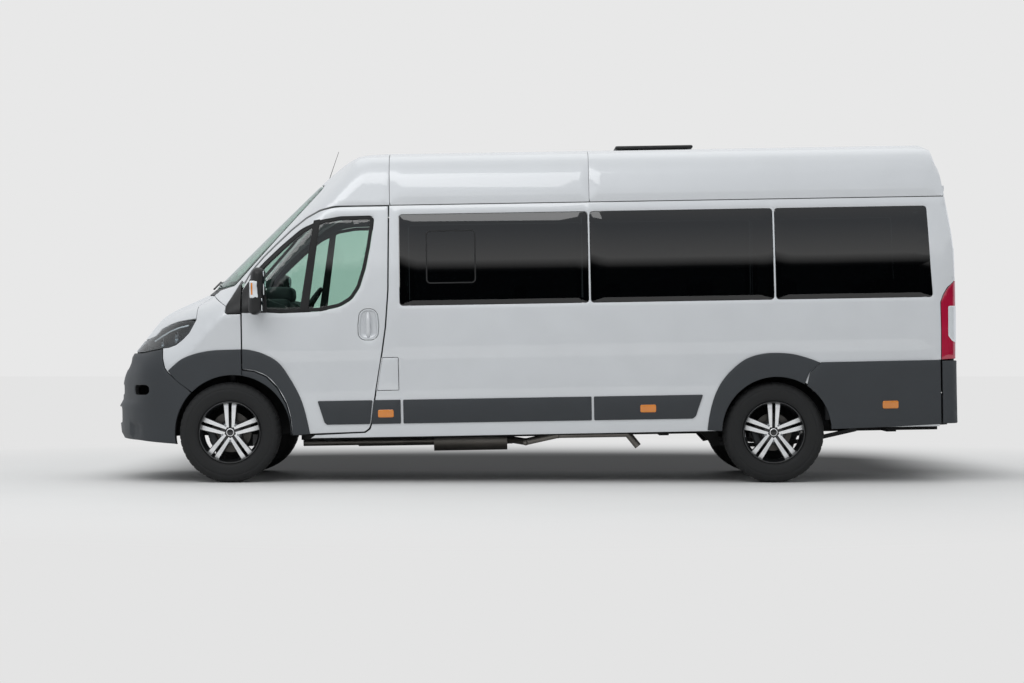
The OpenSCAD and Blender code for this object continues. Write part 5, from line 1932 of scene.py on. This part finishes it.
    def build(self) -> None:
        """Makes the wheels and brakes in their places."""
        tyre, rim = self.tyre(), self.rim()
        for side in Side:
            for front, x, track in ((True, FRONT_X, 1790.0), (False, FRONT_X + WHEELBASE, 1776.0)):
                name = f"{side.word}_{'front' if front else 'rear'}"
                y = side.value * track / 2
                turn = Matrix.Rotation(math.pi / 2, 4, "X")
                flip = Matrix.Scale(-1, 4, (0, 0, 1)) if side is Side.RIGHT else Matrix.Identity(4)
                m = Matrix.Scale(MM, 4) @ Matrix.Translation((x, y, WHEEL_Z)) @ turn @ flip
                self.piece(name + "_tyre_rubber", placed(tyre, m), (TYRE,), name + "_wheel",
                        (name + "_tyre",), "tyre", 30)
                self.piece(name + "_rim_alloy", placed(rim, m), (TURNED, POCKET, ZINC), name + "_wheel",
                        (name + "_rim",), "rim", 30)
                body = side.word + "_knuckle" if front else "bodywork"
                self.piece(name + "_brake", placed(self.brake(front), m), (DISC, IRON), body, (), "hub_iron")


# ---------------------------------------------------------------- cabin


def body_block(size: Sequence, centre: Sequence, radius: float, steps: int = 3, bulge: float = 0.0,
        lean: float = 0.0) -> MeshData:
    """A rounded block in bodywork millimetres, leaned back about its lower edge, in the row frame.

    Args:
        size: its three lengths.
        centre: its middle.
        radius: radius of its edges.
        steps: facets of each rounded edge.
        bulge: how far its faces crown.
        lean: angle it leans back, in degrees.
    Returns:
        Mesh data in metres.
    """
    block = soft_block(size, (0, 0, size[2] / 2), radius, steps, bulge)
    turned = placed(block, Matrix.Rotation(math.radians(lean), 4, "Y"))
    pts = turned.points + np.array(centre) - np.array([0, 0, size[2] / 2])
    return MeshData(to_row(pts), turned.faces, turned.slots)


class Cabin(SubAssembly):
    """Seats with crowned cushions, seat bases, dashboard trim and the steering wheel's details."""

    FRONT_SEATS = ((900.0, -532.0), (900.0, 304.0), (900.0, 665.0))
    ROWS = tuple((x, y) for x in (1840.0, 2540.0, 3220.0) for y in (-690.0, -230.0, 690.0))
    REAR_SEATS = ((3900.0, -355.0), (3900.0, 355.0), (4600.0, -690.0), (4600.0, -230.0), (4600.0, 230.0),
            (4600.0, 690.0))

    @staticmethod
    def cushion(size: tuple, crown: float, lean: float, place: tuple) -> MeshData:
        """A padded cushion: its faces crown, pinched along the seam that runs round it.

        Args:
            size: length, width and thickness.
            crown: how far the middle of its faces stands out.
            lean: angle it leans back, in degrees.
            place: the middle of its lower face.
        Returns:
            Mesh data in metres.
        """
        bm = bmesh.new()
        bmesh.ops.create_cube(bm, size=1.0)
        bmesh.ops.subdivide_edges(bm, edges=bm.edges[:], cuts=13, use_grid_fill=True)
        s = np.array(size)
        p = np.array([v.co[:] for v in bm.verts]) * 2
        faces = [tuple(v.index for v in f.verts) for f in bm.faces]
        bm.free()
        q = p * s / 2
        thin = int(np.argmin(s))
        others = [i for i in range(3) if i != thin]
        power = 5.0
        norm = (np.abs(p[:, others[0]]) ** power + np.abs(p[:, others[1]]) ** power
                + np.abs(p[:, thin]) ** power) ** (1 / power)
        q /= norm[:, None]
        a, b = (np.clip(np.abs(q[:, i]) / (s[i] / 2), 0, 1) for i in others)
        q[:, thin] += np.sign(q[:, thin]) * crown * (1 - a ** 2) * (1 - b ** 2)
        groove = np.exp(-((np.abs(q[:, others[0]]) - s[others[0]] * 0.30) / 7) ** 2)
        q[:, thin] -= np.sign(q[:, thin]) * groove * 7 * (np.abs(p[:, thin]) > 0.99)
        seam = np.exp(-(q[:, thin] / 5) ** 2) * (np.abs(p[:, thin]) < 0.3)
        for i in others:
            q[:, i] *= 1 - 0.012 * seam
        q[:, 2] += s[2] / 2
        c, d = math.cos(math.radians(lean)), math.sin(math.radians(lean))
        x = q[:, 0] * c + q[:, 2] * d
        z = -q[:, 0] * d + q[:, 2] * c
        pts = np.stack([x + place[0], q[:, 1] + place[1], z + place[2]], -1)
        return MeshData(to_row(pts), faces, [0] * len(faces))

    def seat(self, x: float, y: float, base: bool) -> tuple:
        """One seat.

        Args:
            x: its middle behind the front axle.
            y: its middle across.
            base: whether it stands on a boxed base and not on legs.
        Returns:
            The padded mesh and the hard mesh.
        """
        soft = [self.cushion((470, 424, 116), 12, -3, (x - 4, y, 596)),
                self.cushion((112, 416, 590), 10, 13, (x + 176, y, 690)),
                self.cushion((86, 250, 150), 8, 13, (x + 318, y, 1292))]
        hard = [body_block((420, 380, 40), (x, y, 580), 12)]
        if base:
            hard.append(body_block((360, 340, 200), (x, y, 466), 16))
        else:
            hard += [body_block((330, 34, 190), (x, y + s * 130, 480), 10) for s in (-1, 1)]
        hard.append(body_block((40, 34, 260), (x + 226, y - 226, 780), 12, lean=60))
        hard.append(body_block((30, 396, 560), (x + 236, y, 985), 12, lean=13))
        for s in (-1, 1):
            rod = np.array([(x + 322, y + s * 60, 1262), (x + 336, y + s * 60, 1330)])
            hard.append(tube(to_row(rod), 6 * MM, 8))
        return soft, hard

    def build(self) -> None:
        """Makes the seats, the dashboard's trim and the wheel's hub."""
        soft, hard = [], []
        for i, (x, y) in enumerate(self.FRONT_SEATS + self.ROWS + self.REAR_SEATS):
            s, h = self.seat(x, y, i < 3)
            soft += s
            hard += h
        self.soft = Piece("seat_cushions", join(soft), (CLOTH,), "bodywork", ("seats",), "seat_fabric", 60)
        self.piece("seat_frames", join(hard), (TRIM,), "bodywork", sharp=45)
        dash = [body_block((300, 1560, 150), (300, 0, 1285), 48, 4),
                body_block((210, 400, 120), (356, -440, 1392), 44, 4),
                body_block((90, 300, 240), (430, 20, 1200), 24, 3)]
        self.piece("dashboard_top_pad", join(dash), (TRIM,))
        self.steering()

    def steering(self) -> None:
        """Makes the grip, spokes and hub of the steering wheel."""
        place = Matrix.Translation((560, -440, 1290)) @ Matrix.Rotation(math.radians(-55), 4, "Y")
        a = np.linspace(0, 2 * math.pi, 73)
        ring = tube(np.stack([176 * np.cos(a), 176 * np.sin(a), np.zeros(73)], -1), 14, 14, False)
        hub = [(0.1, 16), (40, 14), (62, 8), (70, 0), (66, -18), (40, -30), (0.1, -34)]
        parts = [ring, spun(hub, 36)]
        for deg in (0, 90, 180, 270):
            arm = soft_block((112, 34, 16), (120, 0, -6), 6, 3)
            parts.append(placed(arm, Matrix.Rotation(math.radians(deg + 45), 4, "Z")))
        m = placed(join(parts), place)
        self.piece("steering_wheel_grip", MeshData(to_row(m.points), m.faces, m.slots), (TRIM,), "bodywork",
                ("steering_wheel",), "trim", 50)

    def dress(self) -> None:
        super().dress()
        self.soft.place()


class Details(SubAssembly):
    """Roof hatch lid, aerial, wipers, rear door handle and hinges, and plate lamp housing."""

    def build(self) -> None:
        """Makes the small outside pieces."""
        lid = body_block((595, 600, 26), (3222, 0, 2482), 12, 4, bulge=0)
        self.piece("roof_hatch_cover", lid, (BLACK,), "roof_hatch_lid", ("roof_hatch_lid",), "hatch_plastic")
        base = TOP.lift(np.array([(692.0, 0.0)]))[0]
        rod = np.array([base + (0, 0, -2), base + (6, 0, 16), base + (16, 0, 46), (788, 0, 2508)])
        foot = spun([(0.1, 16), (8, 15), (13, 8), (22, 0), (24, -8)], 20)
        foot.points = to_row(foot.points + base)
        self.piece("roof_aerial", join([tube(to_row(rod), np.array([6, 5, 2.4, 1.6]) * MM, 10), foot]),
                (BLACK,), sharp=60)
        self.wipers()
        self.rear_fittings()

    def wipers(self) -> None:
        """Makes two wipers lying along the foot of the windscreen."""
        parts = []
        for y0, y1 in ((-560, 96), (60, 690)):
            p = FRONT.lift(np.stack([np.linspace(y0, y1, 30), np.linspace(1462, 1520, 30)], -1))
            n = SHAPE.normal(p)
            parts.append(tube(to_row(p + n * 9), 4.5 * MM, 8))
            q = np.stack([FRONT.lift(np.array([(y0 + 60, 1432.0)]))[0], p[14]])
            q = np.stack([q[0] + (q[1] - q[0]) * t for t in np.linspace(0, 1, 10)])
            parts.append(tube(to_row(q + SHAPE.normal(q) * 18), 7 * MM, 10))
        self.piece("windscreen_wipers", join(parts), (BLACK,))

    def rear_fittings(self) -> None:
        """Makes the hinges, the handle and the plate lamp housing of the rear."""
        for z in (742, 1130, 2096):
            hinge = TAIL.lift(np.array([(-872.0, z)]))[0]
            strap = body_block((12, 86, 44), (hinge[0] + 3, -858, hinge[2]), 5, 3)
            self.both("{side}_rear_door_hinge_" + str(z), strap, (PAINT,), "{side}_rear_door", slot="paint")
        c = TAIL.lift(np.array([(-62.0, 1182.0)]))[0]
        grip = body_block((26, 40, 180), (c[0] - 6, 66, 1182), 11, 3)
        self.piece("right_rear_door_handle", grip, (BLACK,), "right_rear_door")
        lamp = body_block((26, 250, 40), (REAR_END - 12, -330, 1030), 9, 3)
        self.piece("plate_lamp_housing", lamp, (BLACK,), "left_rear_door")


# ---------------------------------------------------------------- studio


class Studio:
    """Pale floor, soft lights and the camera in front of the left side."""

    def build(self) -> None:
        """Makes the floor, the world, the lights and the camera."""
        bpy.ops.mesh.primitive_plane_add(size=120, location=(0, 0, 0))
        floor = bpy.context.object
        floor.name = "studio_floor"
        floor.data.materials.append(self.floor_material())
        self.world()
        self.lamp("soft_key", (-3.5, -9.0, 7.5), (0.2, 0, 1.2), 9.0, 3.0, 250)
        self.lamp("soft_top", (0.0, 2.0, 9.5), (0, 0, 1.0), 12.0, 7.0, 130)
        cam = bpy.data.cameras.new("camera")
        cam.lens = 95.1
        cam.sensor_width = 36
        cam.clip_end = 200
        obj = bpy.data.objects.new("camera", cam)
        bpy.context.scene.collection.objects.link(obj)
        obj.location = (-0.1415, -21.03, 1.046)
        obj.rotation_euler = (math.pi / 2, 0, 0)
        bpy.context.scene.camera = obj
        bpy.context.scene.view_settings.view_transform = "Standard"

    @staticmethod
    def floor_material() -> bpy.types.Material:
        """Pale floor that keeps the rendered shadow, adds a painted shadow (a soft patch under and behind the
        vehicle mixed toward black) and fades into the backdrop.

        Returns:
            The material.
        """
        mat = bpy.data.materials.new("studio_floor_paint")
        mat.use_nodes = True
        t = mat.node_tree
        t.nodes.clear()
        where = add(t, "NewGeometry").outputs["Position"]
        cloud = add(t, "TexNoise", {"Vector": where}, in_Scale=0.8)
        tint = add(t, "ValToRGB", {"Fac": cloud.outputs["Fac"]})
        tint.color_ramp.elements[0].color = linear("dfdfde")
        tint.color_ramp.elements[1].color = linear("e3e3e2")
        sep = add(t, "SeparateXYZ", {"Vector": where})
        across_x = add(t, "Math", {0: sep.outputs["X"]}, operation="SUBTRACT", in_1=0.3)
        far_x = add(t, "Math", {0: across_x.outputs["Value"]}, operation="ABSOLUTE")
        # painted shadow: a soft patch under and behind the vehicle, whose floor colour is mixed toward black
        painted_shadow_patch = None
        for value, start, end in ((sep.outputs["Y"], -1.2, 1.2), (sep.outputs["Y"], 7.4, 3.4),
                (far_x.outputs["Value"], 3.9, 2.5)):
            step = add(t, "MapRange", {"Value": value}, interpolation_type="SMOOTHSTEP", in_1=start,
                    in_2=end).outputs["Result"]
            painted_shadow_patch = step if painted_shadow_patch is None else add(t, "Math", {0: painted_shadow_patch, 1: step},
                    operation="MULTIPLY").outputs["Value"]
        painted_shadow_strength = add(t, "Math", {0: painted_shadow_patch}, operation="MULTIPLY", in_1=0.97)
        painted_shadow_mix = add(t, "Mix", {"Factor": painted_shadow_strength.outputs["Value"], 6: tint.outputs["Color"]},
                data_type="RGBA", in_7=(0, 0, 0, 1))
        bsdf = add(t, "BsdfPrincipled", {"Base Color": painted_shadow_mix.outputs[2]}, in_Roughness=0.7,
                in_Specular_IOR_Level=0.1)
        away = add(t, "VectorMath", {0: where}, operation="LENGTH")
        fade = add(t, "MapRange", {"Value": away.outputs["Value"]}, in_1=4.2, in_2=7.5)
        glow = add(t, "Emission", in_Color=linear("e4e4e4"))
        mix = add(t, "MixShader", {"Fac": fade.outputs["Result"]})
        t.links.new(bsdf.outputs["BSDF"], mix.inputs[1])
        t.links.new(glow.outputs["Emission"], mix.inputs[2])
        out = add(t, "OutputMaterial")
        t.links.new(mix.outputs["Shader"], out.inputs["Surface"])
        return mat

    @staticmethod
    def world() -> None:
        """Even studio light: one tone for the camera, a soft gradient for reflections."""
        world = bpy.data.worlds.new("studio")
        bpy.context.scene.world = world
        world.use_nodes = True
        t = world.node_tree
        t.nodes.clear()
        coord = add(t, "TexCoord")
        sep = add(t, "SeparateXYZ", {"Vector": coord.outputs["Generated"]})
        dome = add(t, "ValToRGB", {"Fac": sep.outputs["Z"]})
        dome.color_ramp.elements[0].color = linear("dcdfe2")
        dome.color_ramp.elements[1].color = linear("f4f5f6")
        ahead = add(t, "MapRange", {"Value": sep.outputs["Y"]}, in_1=-0.25, in_2=0.15, in_3=0.0, in_4=0.4)
        level = add(t, "Math", {0: sep.outputs["Z"], 1: ahead.outputs["Result"]}, operation="ADD")
        wall = add(t, "ValToRGB", {"Fac": level.outputs["Value"]})
        wall.color_ramp.elements[0].position = 0.226
        wall.color_ramp.elements[0].color = linear("191b1f")
        wall.color_ramp.elements[1].position = 0.242
        wall.color_ramp.elements[1].color = linear("ffffff")
        wall.color_ramp.elements.new(0.29).color = linear("ccd1d8")
        wall.color_ramp.elements.new(0.9).color = linear("f4f5f6")
        soft = add(t, "Background", {"Color": dome.outputs["Color"]}, in_Strength=0.92)
        glint = add(t, "Background", {"Color": wall.outputs["Color"]}, in_Strength=1.0)
        seen = add(t, "Background", in_Color=linear("e8e8e8"), in_Strength=1.0)
        path = add(t, "LightPath")
        shine = add(t, "MixShader", {"Fac": path.outputs["Is Glossy Ray"]})
        t.links.new(soft.outputs["Background"], shine.inputs[1])
        t.links.new(glint.outputs["Background"], shine.inputs[2])
        mix = add(t, "MixShader", {"Fac": path.outputs["Is Camera Ray"]})
        t.links.new(shine.outputs["Shader"], mix.inputs[1])
        t.links.new(seen.outputs["Background"], mix.inputs[2])
        out = add(t, "OutputWorld")
        t.links.new(mix.outputs["Shader"], out.inputs["Surface"])

    @staticmethod
    def lamp(name: str, place: tuple, target: tuple, width: float, height: float, power: float) -> None:
        """Adds a soft panel light that looks at a point.

        Args:
            name: the light's name.
            place: where it hangs, in metres.
            target: the point it faces.
            width: its width in metres.
            height: its height in metres.
            power: its power in watts.
        """
        data = bpy.data.lights.new(name, "AREA")
        data.shape = "RECTANGLE"
        data.size, data.size_y = width, height
        data.energy = power
        obj = bpy.data.objects.new(name, data)
        bpy.context.scene.collection.objects.link(obj)
        obj.location = place
        obj.rotation_euler = (Vector(target) - Vector(place)).to_track_quat("-Z", "Y").to_euler()


# CAD pieces that stay, with the finish that each gets
KEPT = {"underbody": LINER, "engine": IRON, "front_suspension": CHASSIS, "left_knuckle": IRON,
        "right_knuckle": IRON, "rear_axle": CHASSIS, "exhaust": EXHAUST, "dashboard": TRIM}
# Sub-assemblies in building order
PARTS = (Shell, FrontEnd, Doors, Windows, Cladding, Wheels, Cabin, Details)


def main() -> None:
    """Builds every sub-assembly in order and notes the sizes."""
    for part in PARTS:
        part = part()
        part.build()
        part.dress()
    for name, finish in KEPT.items():
        node = frame["nodes"][name]
        for i in range(len(node.data.materials)):
            node.data.materials[i] = finish.material()
    Studio().build()


if __name__ == "__main__":
    main()
